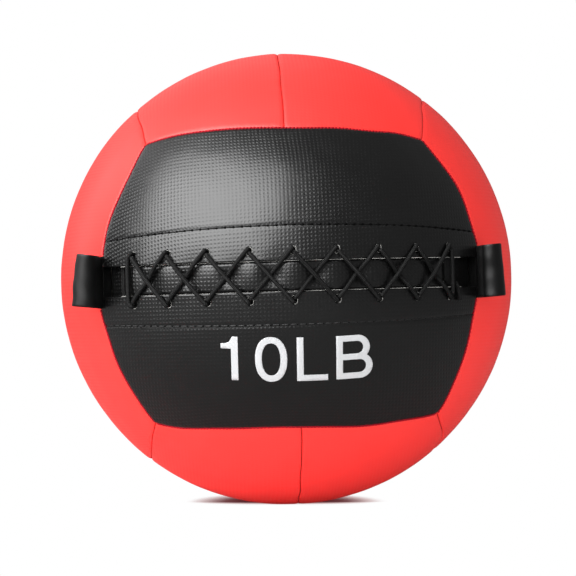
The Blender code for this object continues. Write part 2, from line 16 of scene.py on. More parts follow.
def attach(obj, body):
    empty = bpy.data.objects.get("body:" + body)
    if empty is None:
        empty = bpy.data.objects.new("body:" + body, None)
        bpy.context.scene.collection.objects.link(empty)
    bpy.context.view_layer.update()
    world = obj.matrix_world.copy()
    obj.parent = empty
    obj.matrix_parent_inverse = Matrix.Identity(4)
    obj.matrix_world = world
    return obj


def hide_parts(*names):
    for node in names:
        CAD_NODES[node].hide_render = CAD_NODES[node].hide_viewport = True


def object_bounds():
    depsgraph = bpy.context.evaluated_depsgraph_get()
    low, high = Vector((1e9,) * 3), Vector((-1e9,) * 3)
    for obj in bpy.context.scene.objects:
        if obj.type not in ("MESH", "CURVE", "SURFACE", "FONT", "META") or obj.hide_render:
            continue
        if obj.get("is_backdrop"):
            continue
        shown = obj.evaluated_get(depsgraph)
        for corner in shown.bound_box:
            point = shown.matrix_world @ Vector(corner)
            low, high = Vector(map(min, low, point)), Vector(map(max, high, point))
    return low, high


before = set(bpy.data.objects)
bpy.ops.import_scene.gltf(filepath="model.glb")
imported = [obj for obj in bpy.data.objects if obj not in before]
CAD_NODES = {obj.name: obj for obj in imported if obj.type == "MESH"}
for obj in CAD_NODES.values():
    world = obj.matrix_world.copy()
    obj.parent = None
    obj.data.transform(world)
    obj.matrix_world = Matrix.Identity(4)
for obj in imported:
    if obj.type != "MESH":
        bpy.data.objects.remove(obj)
cad_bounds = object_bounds()
print("solids:", len(CAD_NODES), "box:", [round(v * 1000, 1) for v in cad_bounds[1] - cad_bounds[0]])

# %% [markdown]
# The sizes below are the ball's own. Every seam between two faces lies in a plane, so the whole cover
# follows from the radius and one angle: how far a face reaches from its middle to its far seam.

# %% Sizes of the ball
RADIUS = 0.1778
FLOOR_PRESS = 0.0015  # the ball's own weight presses its base this far in
CENTRE = np.array([0, 0, RADIUS - FLOOR_PRESS])
FACE_REACH = math.radians(51.5)  # middle of a face to the middle of its far seam
COVER_THICKNESS = 0.0018
SEAM_GAP = 0.0002
SEAM_DROP = 0.0012  # how far the stitches draw an edge in
SEAM_ROLL = 0.0036  # width over which the cover rolls down to a seam
SLIT_HALF_GAP = 0.011
EYELET_PITCH = 0.0315

corner_part = RADIUS / math.sqrt(3)
seam_out = RADIUS * math.cos(FACE_REACH)
seam_long = RADIUS * math.sin(FACE_REACH)
EDGE_SLOPE = (seam_out - corner_part) / (seam_long - corner_part)
EDGE_OFFSET = corner_part * (1 - EDGE_SLOPE)
LONG_ARC = RADIUS * FACE_REACH
SHORT_ARC = RADIUS * (math.pi / 2 - FACE_REACH)
print(f"face: {2 * LONG_ARC * 1000:.0f} mm long, half {SHORT_ARC * 1000:.0f} mm wide")

# %% [markdown]
# A long chain of shader nodes is hard to read. This small class wraps one output socket and lets plain
# Python expressions build the maths: `1 - mask * 2` adds its own Math nodes.


# %% Shader maths
class Value:
    """One number that varies over a surface, with the operators that shader maths needs."""

    def __init__(self, sheet, socket):
        self.sheet = sheet
        self.socket = socket

    def math(self, operation, *others):
        return self.sheet.node("ShaderNodeMath", {"operation": operation}, [self, *others])

    def __add__(self, other):
        return self.math("ADD", other)

    def __mul__(self, other):
        return self.math("MULTIPLY", other)

    def __sub__(self, other):
        return self.math("SUBTRACT", other)

    def __rsub__(self, other):
        return self.sheet.node("ShaderNodeMath", {"operation": "SUBTRACT"}, [other, self])

    __radd__ = __add__


class Finish:
    """A material and the one way in which nodes are added to it."""

    def __init__(self, name, **constants):
        self.material = bpy.data.materials.new(name)
        self.material.use_nodes = True
        self.tree = self.material.node_tree
        self.shader = self.tree.nodes["Principled BSDF"]
        for socket, value in constants.items():
            self.shader.inputs[socket.replace("_", " ")].default_value = value

    def node(self, kind, settings=None, inputs=(), output=0):
        """Adds a node: its settings first, then the values or links of its sockets."""
        node = self.tree.nodes.new(kind)
        for key, value in (settings or {}).items():
            if key == "stops":
                ramp = node.color_ramp
                while len(ramp.elements) < len(value):
                    ramp.elements.new(0.5)
                for element, (position, shade) in zip(ramp.elements, value):
                    element.position = position
                    element.color = (*shade, 1) if hasattr(shade, "__len__") else (shade, shade, shade, 1)
            else:
                setattr(node, key, value)
        pairs = inputs.items() if isinstance(inputs, dict) else enumerate(inputs)
        for key, value in pairs:
            if isinstance(value, Value):
                self.tree.links.new(value.socket, node.inputs[key])
            elif value is not None:
                node.inputs[key].default_value = value
        return Value(self, node.outputs[output])

    def feed(self, socket, value):
        self.tree.links.new(value.socket, self.shader.inputs[socket])

    def place(self):
        """The point on the surface, in metres."""
        return self.node("ShaderNodeTexCoord", output="Object")

    def parts(self, vector):
        """The three parts of a vector, each as a value."""
        first = self.node("ShaderNodeSeparateXYZ", inputs=[vector])
        return [Value(self, socket) for socket in first.socket.node.outputs]

    def flat(self, name):
        """The piece's own flat map, as two values in metres."""
        return self.parts(self.node("ShaderNodeUVMap", {"uv_map": name}))[:2]

    def pits(self):
        """1 in each pit of the embossed grid and 0 on the flat land round it."""
        along, across = self.flat("cover_flat")
        wave_along = (along * (math.pi / EMBOSS_PITCH)).math("SINE")
        wave_across = (across * (math.pi / EMBOSS_PITCH)).math("SINE")
        domes = wave_along * wave_along * wave_across * wave_across
        smooth = {"interpolation_type": "SMOOTHSTEP"}
        return self.node("ShaderNodeMapRange", smooth, [domes, PIT_RIM, PIT_FLOOR, 0.0, 1.0])

    def noise(self, scale, detail=2.0, rough=0.5):
        settings = {"Vector": self.place(), "Scale": scale, "Detail": detail, "Roughness": rough}
        return self.node("ShaderNodeTexNoise", inputs=settings)

    def blend(self, share, first, second):
        """Mixes two colours by a share."""
        node = self.tree.nodes.new("ShaderNodeMix")
        node.data_type = "RGBA"
        self.tree.links.new(share.socket, node.inputs["Factor"])
        for key, colour in ((6, first), (7, second)):
            if isinstance(colour, Value):
                self.tree.links.new(colour.socket, node.inputs[key])
            else:
                node.inputs[key].default_value = (*colour, 1)
        return Value(self, node.outputs[2])

    def bump(self, height, distance, strength=1.0, under=None):
        """A relief of this many metres; under is a finer one that it lies on."""
        inputs = {"Strength": strength, "Distance": distance, "Height": height, "Normal": under}
        return self.node("ShaderNodeBump", inputs=inputs)


# %% [markdown]
# The cover is cloth with a soft plastic coat, rolled with a grid of small round pits 2.9 mm apart. The
# pits are too fine for the mesh, so they are a bump that follows each panel's own flat map, as the grid
# does on the real sheet. The flat lands between them shine most, and the coat has faint mottling.
# The black has almost no colour of its own: what shows is the room and the lamps in its gloss.

# %% Embossed vinyl
EMBOSS_PITCH = 0.00287
PIT_RIM, PIT_FLOOR = 0.12, 0.75  # shares of a dome's height at which a pit starts and is flat
FADE_FROM, FADE_TO = -0.12, -0.05  # across the ball, where the pits' depth changes


def grey(level):
    """A colour without a hue."""
    return (level, level, level)


def embossed_vinyl(name, colour, worn, roughness, relief, gloss, depths=(1.0, 1.0)):
    """Coated cloth with its grid of pits; worn is the colour that its mottling drifts to.

    depths is how deep the pits are at the left end and at the right."""
    made = Finish(name, Specular_IOR_Level=gloss)
    across_ball = made.parts(made.place())[0]
    depth = made.node("ShaderNodeMapRange", inputs=[across_ball, FADE_FROM, FADE_TO, *depths])
    pits = made.pits() * depth
    mottle = made.noise(28.0, 3.0)
    grain = made.noise(2600.0, 2.0)
    made.feed("Base Color", made.blend(mottle, worn, colour))
    made.feed("Roughness", roughness + (mottle - 0.5) * 0.08 + pits * 0.08)
    fine = made.bump(grain, 0.00003, 0.5)
    made.feed("Normal", made.bump(2 - pits, relief, 1.0, fine))
    return made.material


RED_VINYL = embossed_vinyl(
    "red_cover_vinyl", (0.86, 0.029, 0.024), (0.82, 0.026, 0.021), 0.42, relief=0.00002, gloss=0.3
)
BLACK_VINYL = embossed_vinyl(
    "black_cover_vinyl", grey(0.0026), grey(0.0018), 0.30, relief=0.00011, gloss=0.5, depths=(1.6, 0.75)
)


# %% [markdown]
# The other finishes: raw backing cloth at the cut edges, thread, braided cord, satin webbing, and the
# white print of the weight.

# %% Other finishes
def woven(name, colour, shade, roughness, pitch, relief, gloss=0.5):
    """Plain cloth: crossing sets of fine threads on the object's own coordinates."""
    made = Finish(name, Specular_IOR_Level=gloss)
    beats = [(part * (math.pi / pitch)).math("SINE") for part in made.parts(made.place())]
    cloth = beats[0] * beats[1] + beats[1] * beats[2] + beats[2] * beats[0]
    fuzz = made.noise(900.0, 3.0)
    made.feed("Base Color", made.blend(fuzz * 0.7 + cloth * 0.15, shade, colour))
    made.feed("Roughness", roughness + (fuzz - 0.5) * 0.1)
    made.feed("Normal", made.bump(cloth * 0.3 + fuzz, relief))
    return made.material


SCRIM = woven("raw_backing_cloth", (0.80, 0.79, 0.76), (0.55, 0.54, 0.51), 0.85, 0.0007, 0.0001)
BLACK_THREAD = woven("black_thread", grey(0.006), grey(0.003), 0.55, 0.0004, 0.00005)
# The same black thread as the line above, in a painted-shade copy for the upper row: darker, and dull so that
# it does not glint where the lower row's thread does.
SHADED_THREAD_COPY = woven("black_thread_painted_shade", grey(0.003), grey(0.001), 0.8, 0.0004, 0.00005, gloss=0.1)
DARK_RED_THREAD = woven(
    "dark_red_thread", (0.38, 0.004, 0.014), (0.22, 0.002, 0.008), 0.7, 0.0004, 0.00005, gloss=0.1
)
# Painted shade: the dark grain that stands for the shadow inside each needle hole.
NEEDLE_HOLE_SHADE = woven("needle_hole_shadow", grey(0.002), grey(0.001), 0.9, 0.0004, 0.00002, gloss=0.05)
CUT_EDGE = woven("dull_cut_edge", grey(0.012), grey(0.006), 0.9, 0.0004, 0.00003, gloss=0.05)
LINING = woven("lining_cloth", (0.36, 0.35, 0.33), (0.24, 0.23, 0.22), 0.9, 0.0012, 0.0001)
CANVAS = woven("ballast_canvas_cloth", (0.44, 0.38, 0.27), (0.30, 0.26, 0.18), 0.9, 0.0015, 0.0002)
FIBRE = woven("packed_fibre", (0.55, 0.52, 0.46), (0.30, 0.28, 0.25), 1.0, 0.004, 0.0015)
GRIT = woven("iron_grit", (0.20, 0.19, 0.18), (0.06, 0.055, 0.05), 0.75, 0.002, 0.0006)


BRAID_PITCH = 1 / 900  # length over which the braid repeats along the cord
BRAID_STRANDS = 4.0  # strands that cross the cord's girth in each direction
RIB_PITCH, WARP_PITCH = 0.0011, 0.0016


def braided_cord(name):
    """Round braid: strands cross over and under as two sets of steep lines round the cord."""
    made = Finish(name, Specular_IOR_Level=0.16)
    along, around = made.flat("cord_flat")
    turns, girth = along * (1 / BRAID_PITCH), around * BRAID_STRANDS
    left = ((turns + girth) * (2 * math.pi)).math("SINE")
    right = ((turns - girth) * (2 * math.pi)).math("SINE")
    strands = left.math("MAXIMUM", right)
    fuzz = made.noise(1500.0, 2.0)
    made.feed("Base Color", made.blend(strands * 0.5 + fuzz * 0.5, grey(0.002), grey(0.007)))
    made.feed("Roughness", 0.62 + (fuzz - 0.5) * 0.2)
    made.feed("Normal", made.bump(strands + fuzz * 0.4, 0.00012))
    return made.material


def satin_webbing(name):
    """Tightly woven nylon: fine ribs across the strap and a soft shine along it."""
    made = Finish(name, Specular_IOR_Level=0.3)
    along, across = made.flat("strap_flat")
    ribs = (along * (2 * math.pi / RIB_PITCH)).math("SINE")
    warp = (across * (2 * math.pi / WARP_PITCH)).math("SINE")
    weave = ribs * warp
    cloud = made.noise(60.0, 3.0)
    made.feed("Base Color", made.blend(weave * 0.3 + cloud * 0.6, grey(0.001), grey(0.004)))
    made.feed("Roughness", 0.36 + (cloud - 0.5) * 0.16)
    made.feed("Normal", made.bump(weave, 0.00006))
    return made.material


def white_print(name):
    """A thin film of white ink, a little worn, that follows the pits under it."""
    made = Finish(name, Specular_IOR_Level=0.3)
    wear = made.noise(700.0, 4.0, 0.7)
    made.feed("Base Color", made.blend(wear, (0.41, 0.42, 0.43), (0.50, 0.51, 0.52)))
    made.feed("Roughness", 0.42 + wear * 0.2)
    made.feed("Normal", made.bump(1 - made.pits() + wear * 0.2, 0.00006))
    return made.material


CORD = braided_cord("black_braided_cord")
WEBBING = satin_webbing("black_satin_webbing")
PRINT = white_print("white_print_ink")
print("finishes:", len(bpy.data.materials))


# %% [markdown]
# Helpers: an object in the scene, a mesh from a grid of points with its flat map in metres, and a finished
# mesh from an object whose modifiers have done their work.


# %% Mesh helpers
def put_in_scene(name, data):
    """A new object with this data."""
    thing = bpy.data.objects.new(name, data)
    bpy.context.scene.collection.objects.link(thing)
    return thing


def from_grid(name, points, flat, map_name, material, wraps=False, outward=None):
    """An object from rows and columns of points; wraps joins the last column to the first."""
    rows, columns = points.shape[:2]
    row_ids = np.arange(rows - 1)
    column_ids = np.arange(columns if wraps else columns - 1)
    corners = ((0, 0), (1, 0), (1, 1), (0, 1))
    faces = np.stack(
        [
            ((row_ids + down)[:, None] * columns + (column_ids + right) % columns).ravel()
            for down, right in corners
        ],
        axis=1,
    )
    flat_points = points.reshape(-1, 3)
    if outward is not None:
        across = flat_points[faces[:, 2]] - flat_points[faces[:, 0]]
        down = flat_points[faces[:, 3]] - flat_points[faces[:, 1]]
        if (np.cross(across, down) @ np.asarray(outward)).sum() < 0:
            faces = faces[:, ::-1]
    mesh = bpy.data.meshes.new(name)
    mesh.from_pydata(flat_points.tolist(), [], faces.tolist())
    mesh.polygons.foreach_set("use_smooth", np.ones(len(faces), bool))
    if flat is not None:
        layer = mesh.uv_layers.new(name=map_name)
        layer.data.foreach_set("uv", flat.reshape(-1, 2)[faces.ravel()].astype(np.float32).ravel())
    mesh.materials.append(material)
    return put_in_scene(name, mesh)


def settle(thing):
    """Applies an object's modifiers and keeps one plain mesh."""
    graph = bpy.context.evaluated_depsgraph_get()
    mesh = bpy.data.meshes.new_from_object(
        thing.evaluated_get(graph), preserve_all_data_layers=True, depsgraph=graph
    )
    thing.modifiers.clear()
    thing.data = mesh
    mesh.name = thing.name
    return thing


def thicken(thing, thickness, rim=None):
    """Gives a sheet its thickness; rim is the finish of its cut edges, if that differs."""
    wall = thing.modifiers.new("wall", "SOLIDIFY")
    wall.thickness = thickness
    if rim:
        thing.data.materials.append(rim)
        wall.material_offset_rim = 1
    wall.offset = -1
    wall.use_even_offset = True
    return settle(thing)


def triangles(thing):
    """How many triangles an object's mesh has."""
    return sum(len(polygon.vertices) - 2 for polygon in thing.data.polygons)


# %% [markdown]
# The cover has twelve panels, two on each face of a rounded cube. A panel is a grid laid on the sphere
# between its seam planes. Near a seam it rolls down to the stitches, which pucker it a little, and the
# packed filling leaves it faintly uneven. Front flaps have no seam along the slit; a row of stitches
# presses a groove into them instead.

# %% The cover's surface
MESH_PITCH = 0.0024
FLAP_PITCH = 0.0012  # finer, because holes are cut into it
SEAM_STEPS = (0, 0.0003, 0.0007, 0.0012, 0.0018, 0.0026, 0.0038)
GROOVE_WIDTH = 0.0012
GROOVE_DEPTH = 0.0005
TOPSTITCH_HEIGHTS = {1: 0.0363, -1: 0.0345}  # of the rows of stitches above and below the slit's middle
TOPSTITCH_DRAW_IN = {1: 0.16, -1: 0.07}  # share by which they draw in where the straps are sewn in
TOPSTITCH_END = math.radians(48)
FLAP_WAVE = 0.00022  # the lace pulls each flap's edge down between its holes
FLAP_WAVE_REACH = 0.008
LUMP_SIZE = 0.045
LUMP_HEIGHT = 0.00035
FINE_LUMP_SHARE = 0.35
PUCKER_HEIGHT = 0.00010
PUCKER_REACH = 0.007
PUCKER_PITCH, SLOW_PUCKER_PITCH = 0.0078, 0.0117
PUCKER_SHARE, SLOW_PUCKER_SHARE = 0.6, 0.4
CLOTH_TILT = 0.06  # the upper flap's grid runs uphill to the middle by this much
CLOTH_SAG, SAG_START = 0.7, 0.3  # and bends down beyond this azimuth on the left


def topstitch_height(azimuth, side):
    """Height of the row of stitches above or below the slit; it draws in towards the ends."""
    share = (azimuth / TOPSTITCH_END) ** 2
    return side * TOPSTITCH_HEIGHTS[side] * (1 - TOPSTITCH_DRAW_IN[side] * share)


def rolled(distance):
    """Share of the seam's drop at this distance from it: a quarter-round."""
    rest = np.clip(1 - distance / SEAM_ROLL, 0, 1)
    return 1 - np.sqrt(1 - rest**2)


def panel_place(turn, rise, split):
    """Parts outward, long and across the face, on the sphere; turn is -1 to 1 and rise 0 to 1."""
    slope = np.tan(turn * math.atan(1 / EDGE_SLOPE))
    inset = SEAM_GAP / 2 * math.sqrt(1 + EDGE_SLOPE**2)
    pivot = EDGE_OFFSET + inset
    base = split * (1 - rise) + (EDGE_OFFSET - inset) * rise
    lift = EDGE_SLOPE * rise
    square = 1 + slope**2 + lift**2
    linear = 2 * (base * lift - pivot * slope**2)
    rest = (pivot * slope) ** 2 + base**2 - RADIUS**2
    outward = (np.sqrt(linear**2 - 4 * square * rest) - linear) / (2 * square)
    return outward, (outward - pivot) * slope, base + lift * outward


# %% [markdown]
# Hand sewing lets a seam wander. Each row below is a place on a seam, seen from the front, and how far
# the seam has drifted there, all in millimetres to the right and up, as measured on the photographed
# ball. Between the rows the drift fades smoothly, and the back is left as it is.

# %% How the seams wander
SEAM_DRIFT = np.array(
    [
        # the black face's left end
        (-114, 86, 0.4, -1.1),
        (-129, 56, 0.7, -0.1),
        (-133, 44, -0.3, 0.0),
        (-115, -18, 0.0, 0.0),
        (-137, -24, -3.5, -0.2),
        (-135, -36, -2.2, -0.3),
        (-131, -50, -2.4, -0.3),
        (-121, -75, -2.1, -0.8),
        # its right end
        (118, 80, -1.6, -1.7),
        (130, 55, 0.5, -0.3),
        (133, 44, 0.0, -0.5),
        (136, 30, 0.7, 0.0),
        (138, 0, 2.2, 0.0),
        (137, -29, -1.0, 0.3),
        (122, -72, 1.6, -0.2),
        # its upper left corner and the red seam that leaves it
        (-103, 103, -2.2, -0.7),
        (-108, 128, -3.7, -2.1),
        (-112, 137, -3.7, -2.1),
        # its upper right corner and the red seam that leaves it
        (103, 103, -1.8, -3.2),
        (108, 126, -1.9, 2.5),
        # its lower left corner and the red seam that leaves it
        (-103, -103, -1.1, -3.1),
        (-106, -116, -1.3, -0.4),
        # its lower right corner and the red seam that leaves it
        (103, -103, 5.2, -2.4),
        (106, -117, 6.0, 1.9),
        (108, -129, 7.0, 3.8),
        # its upper edge
        (-83, 106, -0.1, 0.9),
        (-16, 110, -2.4, -1.6),
        (16, 110, -1.8, -2.8),
        (59, 108, 0.9, -3.2),
        # its lower edge
        (-82, -106, 0.1, -3.6),
        (-59, -108, -0.1, -1.2),
        (-37, -110, -0.4, 0.2),
        (-15, -110, 1.6, 1.4),
        (17, -110, 2.4, 0.5),
        (39, -110, -0.2, -1.2),
        (62, -107, -0.3, -2.2),
        (85, -105, 1.4, -2.5),
        # the red seam over it
        (0, 115, -2.5, -2.2),
        (0, 139, -2.9, -0.1),
        (0, 152, -2.8, 0.0),
        (0, 167, -3.1, 0.1),
        (0, 176, -2.9, 0.0),
        # the red seam under it
        (0, -115, 4.0, 0.8),
        (0, -127, 4.0, 0.1),
        (0, -139, 4.0, 0.0),
        (0, -162, 4.0, 0.0),
        (0, -176, 4.0, 0.0),
    ]
)
DRIFT_REACH = 0.025
DRIFT_SLACK = 0.03  # lets the drift pass a little beside a row, so that it stays smooth
MILLIMETRE = 0.001


def on_front(x, z):
    """Points on the front of the sphere from their places right and up."""
    return np.stack([x, -np.sqrt(np.maximum(RADIUS**2 - x**2 - z**2, 0)), z], axis=-1)


drift_places, drift_moves = SEAM_DRIFT[:, :2] * MILLIMETRE, SEAM_DRIFT[:, 2:] * MILLIMETRE
drift_starts = on_front(*drift_places.T)
drift_ends = on_front(*(drift_places + drift_moves).T)


def nearness(spots):
    """How near each spot is to each measured place, from 0 to 1."""
    apart = np.linalg.norm(spots[..., None, :] - drift_starts, axis=-1)
    return np.exp(-((apart / DRIFT_REACH) ** 2))


drift_weights = np.linalg.solve(
    nearness(drift_starts) + DRIFT_SLACK * np.eye(len(drift_starts)), drift_ends - drift_starts
)


def drifted(directions):
    """The same directions, moved as far as the nearby seams have wandered."""
    spots = directions * RADIUS
    spots = spots + nearness(spots) @ drift_weights
    return spots / np.linalg.norm(spots, axis=-1, keepdims=True)


print(f"seams wander by up to {np.linalg.norm(SEAM_DRIFT[:, 2:], axis=1).max():.1f} mm")


# %% [markdown]
# The filling is packed by hand and never quite even. The cloth was flat before it was sewn, so each panel
# keeps a flat map on which its grid has one pitch, bent where the cloth was pulled.

# %% One panel
def graded(arc, pitch, starts_at_seam=True):
    """Shares from 0 to 1 along an arc: even steps, and finer ones within a seam's roll."""
    ends = np.array(SEAM_STEPS)
    first = ends if starts_at_seam else np.array([0.0])
    steps = round((arc - first[-1] - ends[-1]) / pitch)
    between = np.linspace(first[-1], arc - ends[-1], steps + 1)
    return np.concatenate([first[:-1], between, arc - ends[::-1][1:]]) / arc


def lumps(directions, size, seed):
    """Soft unevenness of the filling, a value about 0 at each direction."""
    offset = Vector((seed * 3.7, seed * 1.3, seed * 2.1))
    scale = RADIUS / size
    return np.array([noise.noise(Vector(d) * scale + offset) for d in directions])


def filling_relief(directions, seed):
    """How far the filling pushes the cover out or lets it sink, at each direction."""
    fine = lumps(directions, LUMP_SIZE / 3, seed + 9)
    return LUMP_HEIGHT * (lumps(directions, LUMP_SIZE, seed) + FINE_LUMP_SHARE * fine)


def cloth_place(bearing, height_share):
    """Where a point of the cover lay on the flat cloth, in metres, so that its grid keeps its pitch."""
    height = np.arcsin(height_share)
    return np.stack([RADIUS * bearing * np.cos(height), RADIUS * height], axis=-1)


def on_face(parts, axes):
    """Points of a face from their three parts and the directions of outward, long and across."""
    return sum(part[..., None] * np.array(axis, float) for part, axis in zip(parts, axes))


def cover_panel(name, material, outward, long, across, laced, seed):
    """One panel as a thick, sewn sheet."""
    pitch = FLAP_PITCH if laced else MESH_PITCH
    turn, rise = np.meshgrid(2 * graded(2 * LONG_ARC, pitch) - 1, graded(SHORT_ARC, pitch, not laced))
    split = SLIT_HALF_GAP if laced else SEAM_GAP / 2
    out_part, long_part, across_part = panel_place(turn, rise, split)
    spots = on_face((out_part, long_part, across_part), (outward, long, across))
    directions = drifted(spots / RADIUS)

    end_distance = (1 - np.abs(turn)) * LONG_ARC
    far_distance = (1 - rise) * SHORT_ARC
    split_distance = rise * SHORT_ARC
    flatness = (1 - rolled(end_distance)) * (1 - rolled(far_distance))
    if not laced:
        flatness = flatness * (1 - rolled(split_distance))
    relief = -SEAM_DROP * (1 - flatness)

    seams = [(end_distance, rise * SHORT_ARC), (far_distance, turn * LONG_ARC)]
    if not laced:
        seams.append((split_distance, turn * LONG_ARC))
    for number, (distance, along) in enumerate(seams):
        beat = np.sin(along * 2 * math.pi / PUCKER_PITCH + seed + number)
        slow = np.sin(along * 2 * math.pi / SLOW_PUCKER_PITCH + 2 * seed + number)
        pucker = PUCKER_SHARE * beat + SLOW_PUCKER_SHARE * slow
        relief += PUCKER_HEIGHT * pucker * np.exp(-distance / PUCKER_REACH)

    if laced:
        azimuth = np.arctan2(long_part, out_part)
        side = 1 if across[2] > 0 else -1
        gap = np.abs(across_part - side * topstitch_height(azimuth, side))
        relief -= GROOVE_DEPTH * np.exp(-((gap / GROOVE_WIDTH) ** 2))
        wave = np.sin(azimuth * RADIUS * 2 * math.pi / EYELET_PITCH)
        relief += FLAP_WAVE * wave * np.exp(-split_distance / FLAP_WAVE_REACH)

    relief += filling_relief(directions.reshape(-1, 3), seed).reshape(relief.shape)
    points = CENTRE + directions * (RADIUS + relief)[..., None]
    points[..., 2] = np.maximum(points[..., 2], 0)

    flat = cloth_place(np.arctan2(long_part, out_part), across_part / RADIUS)
    if laced and across[2] > 0:
        beyond = np.clip(-long_part / RADIUS - SAG_START, 0, None)
        flat[..., 1] -= CLOTH_TILT * long_part - CLOTH_SAG * RADIUS * beyond**3
    panel = from_grid(name, points, flat, "cover_flat", material, outward=outward)
    return thicken(panel, COVER_THICKNESS, CUT_EDGE if laced else None)


# %% The twelve panels
FACES = {
    "front": ((0, -1, 0), (1, 0, 0), BLACK_VINYL, "black_vinyl", {"upper": (0, 0, 1), "lower": (0, 0, -1)}),
    "rear": ((0, 1, 0), (1, 0, 0), BLACK_VINYL, "black_vinyl", {"upper": (0, 0, 1), "lower": (0, 0, -1)}),
    "left": ((-1, 0, 0), (0, 0, 1), RED_VINYL, "red_vinyl", {"front": (0, -1, 0), "rear": (0, 1, 0)}),
    "right": ((1, 0, 0), (0, 0, 1), RED_VINYL, "red_vinyl", {"front": (0, -1, 0), "rear": (0, 1, 0)}),
    "top": ((0, 0, 1), (0, 1, 0), RED_VINYL, "red_vinyl", {"left": (-1, 0, 0), "right": (1, 0, 0)}),
    "bottom": ((0, 0, -1), (0, 1, 0), RED_VINYL, "red_vinyl", {"left": (-1, 0, 0), "right": (1, 0, 0)}),
}
panels = {}
for face, (outward, long, material, slot, halves) in FACES.items():
    for half, across in halves.items():
        node = f"{face}_{half}_panel"
        laced, seed = face == "front", len(panels) + 1
        panel = cover_panel(f"{node}_cover", material, outward, long, across, laced, seed)
        panels[node] = (panel, slot)
print("panels:", {node: triangles(panel) for node, (panel, _) in panels.items()})


# %% [markdown]
# The laced opening lies on the front, so its pieces are placed by azimuth, height and distance from the
# ball's centre.

# %% Places over the laced face
EYELET_PAIRS = 9
LAST_EYELET = EYELET_PAIRS - 1
EYELET_MARGIN = 0.0066  # slit edge to the middle of a hole
EYELET_ROW = SLIT_HALF_GAP + EYELET_MARGIN
EYELET_WIDTH = 0.0048
EYELET_LENGTH = 0.0066
ROW_RISE = 0.0006  # both rows of holes lie a little high over the slit
HOLE_POINTS = 24
PUNCH_DEPTH, PUNCH_OVERRUN = 0.006, 0.004
SLIT_REACH = math.radians(44.6)  # how far the raw edges run to each side


def front_point(azimuth, height, radius):
    """Points at an azimuth from the front, a height along the ball and a distance from its centre."""
    rise = np.arcsin(np.asarray(height, float) / RADIUS)
    level = radius * np.cos(rise)
    parts = np.broadcast_arrays(level * np.sin(azimuth), -level * np.cos(azimuth), radius * np.sin(rise))
    return CENTRE + np.stack(parts, axis=-1)


def eyelet_azimuth(index):
    """Azimuth of a pair of holes, counted from the left."""
    return (index - LAST_EYELET / 2) * EYELET_PITCH / RADIUS


def eyelet_outline():
    """Points round an oval hole, its long side along the second axis."""
    angles = np.linspace(0, 2 * math.pi, HOLE_POINTS, endpoint=False)
    across = np.cos(angles) * EYELET_WIDTH / 2
    along = np.sin(angles) * EYELET_WIDTH / 2
    along += np.sign(along) * (EYELET_LENGTH - EYELET_WIDTH) / 2
    return across, along


# %% [markdown]
# The holes are punched through the flaps, so they are cut here with a Boolean as a punch would: one
# cutter that holds all nine oval posts of a row.

# %% Punched holes
across, along = eyelet_outline()
for side, node in ((1, "front_upper_panel"), (-1, "front_lower_panel")):
    posts = bmesh.new()
    for index in range(EYELET_PAIRS):
        azimuths, heights = eyelet_azimuth(index) + across / RADIUS, side * EYELET_ROW + ROW_RISE + along
        rings = []
        for level in (RADIUS - PUNCH_DEPTH, RADIUS + PUNCH_OVERRUN):
            rings.append([posts.verts.new(spot) for spot in front_point(azimuths, heights, level)])
            posts.faces.new(rings[-1])
        for corner in range(HOLE_POINTS):
            after = (corner + 1) % HOLE_POINTS
            posts.faces.new((rings[0][corner], rings[0][after], rings[1][after], rings[1][corner]))
    bmesh.ops.recalc_face_normals(posts, faces=posts.faces)
    punch_mesh = bpy.data.meshes.new("punch")
    posts.to_mesh(punch_mesh)
    posts.free()
    punch = put_in_scene("punch", punch_mesh)
    flap = panels[node][0]
    holes = flap.modifiers.new("holes", "BOOLEAN")
    holes.operation = "DIFFERENCE"
    holes.object = punch
    settle(flap)
    bpy.data.objects.remove(punch)
    print(node, "with holes:", triangles(flap))

for node, (panel, slot) in panels.items():
    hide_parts(node)
    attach(panel, "ball")

# %% [markdown]
# Behind the slit lies the tongue. The filling presses it up into the slit, most of all between the
# lace's crossings, where nothing holds it back.

# %% Tongue and backing strips
LACE_DIAMETER = 0.0032
LACE_RADIUS = LACE_DIAMETER / 2
LACE_CLEARANCE = 0.0004
SHEET_GAP = 0.0005
BACKING_THICKNESS = 0.0008
BACKING_UNDERSIDE = RADIUS - COVER_THICKNESS - SHEET_GAP - BACKING_THICKNESS
LACE_OVER = RADIUS + LACE_CLEARANCE + LACE_RADIUS
LACE_UNDER = BACKING_UNDERSIDE - LACE_CLEARANCE - LACE_RADIUS
TONGUE_TOP = LACE_UNDER - LACE_RADIUS - LACE_CLEARANCE
TONGUE_HALF_WIDTH = 0.0331
TONGUE_MARGIN = 0.006  # the strip at each side where the tongue is sewn to the backing
TONGUE_REACH = FACE_REACH - 0.0022 / RADIUS
TONGUE_ROWS, TONGUE_COLUMNS = 46, 200
TONGUE_BULGE = 0.0052
BULGE_HALF_WIDTH, BULGE_STEEPNESS = 0.0118, 24
BULGE_ENDS = (0.011, 0.001)  # how far it runs on past the last holes, at the left and at the right
TONGUE_FADE = 0.009
PILLOW_HEIGHT = 0.0012  # between the crossings the tongue swells by this much more
PILLOW_HALF_WIDTH = 0.016
CROSSING_DIP = 0.0013  # and the lace holds it down under them
CROSSING_HALF_WIDTH = 0.006


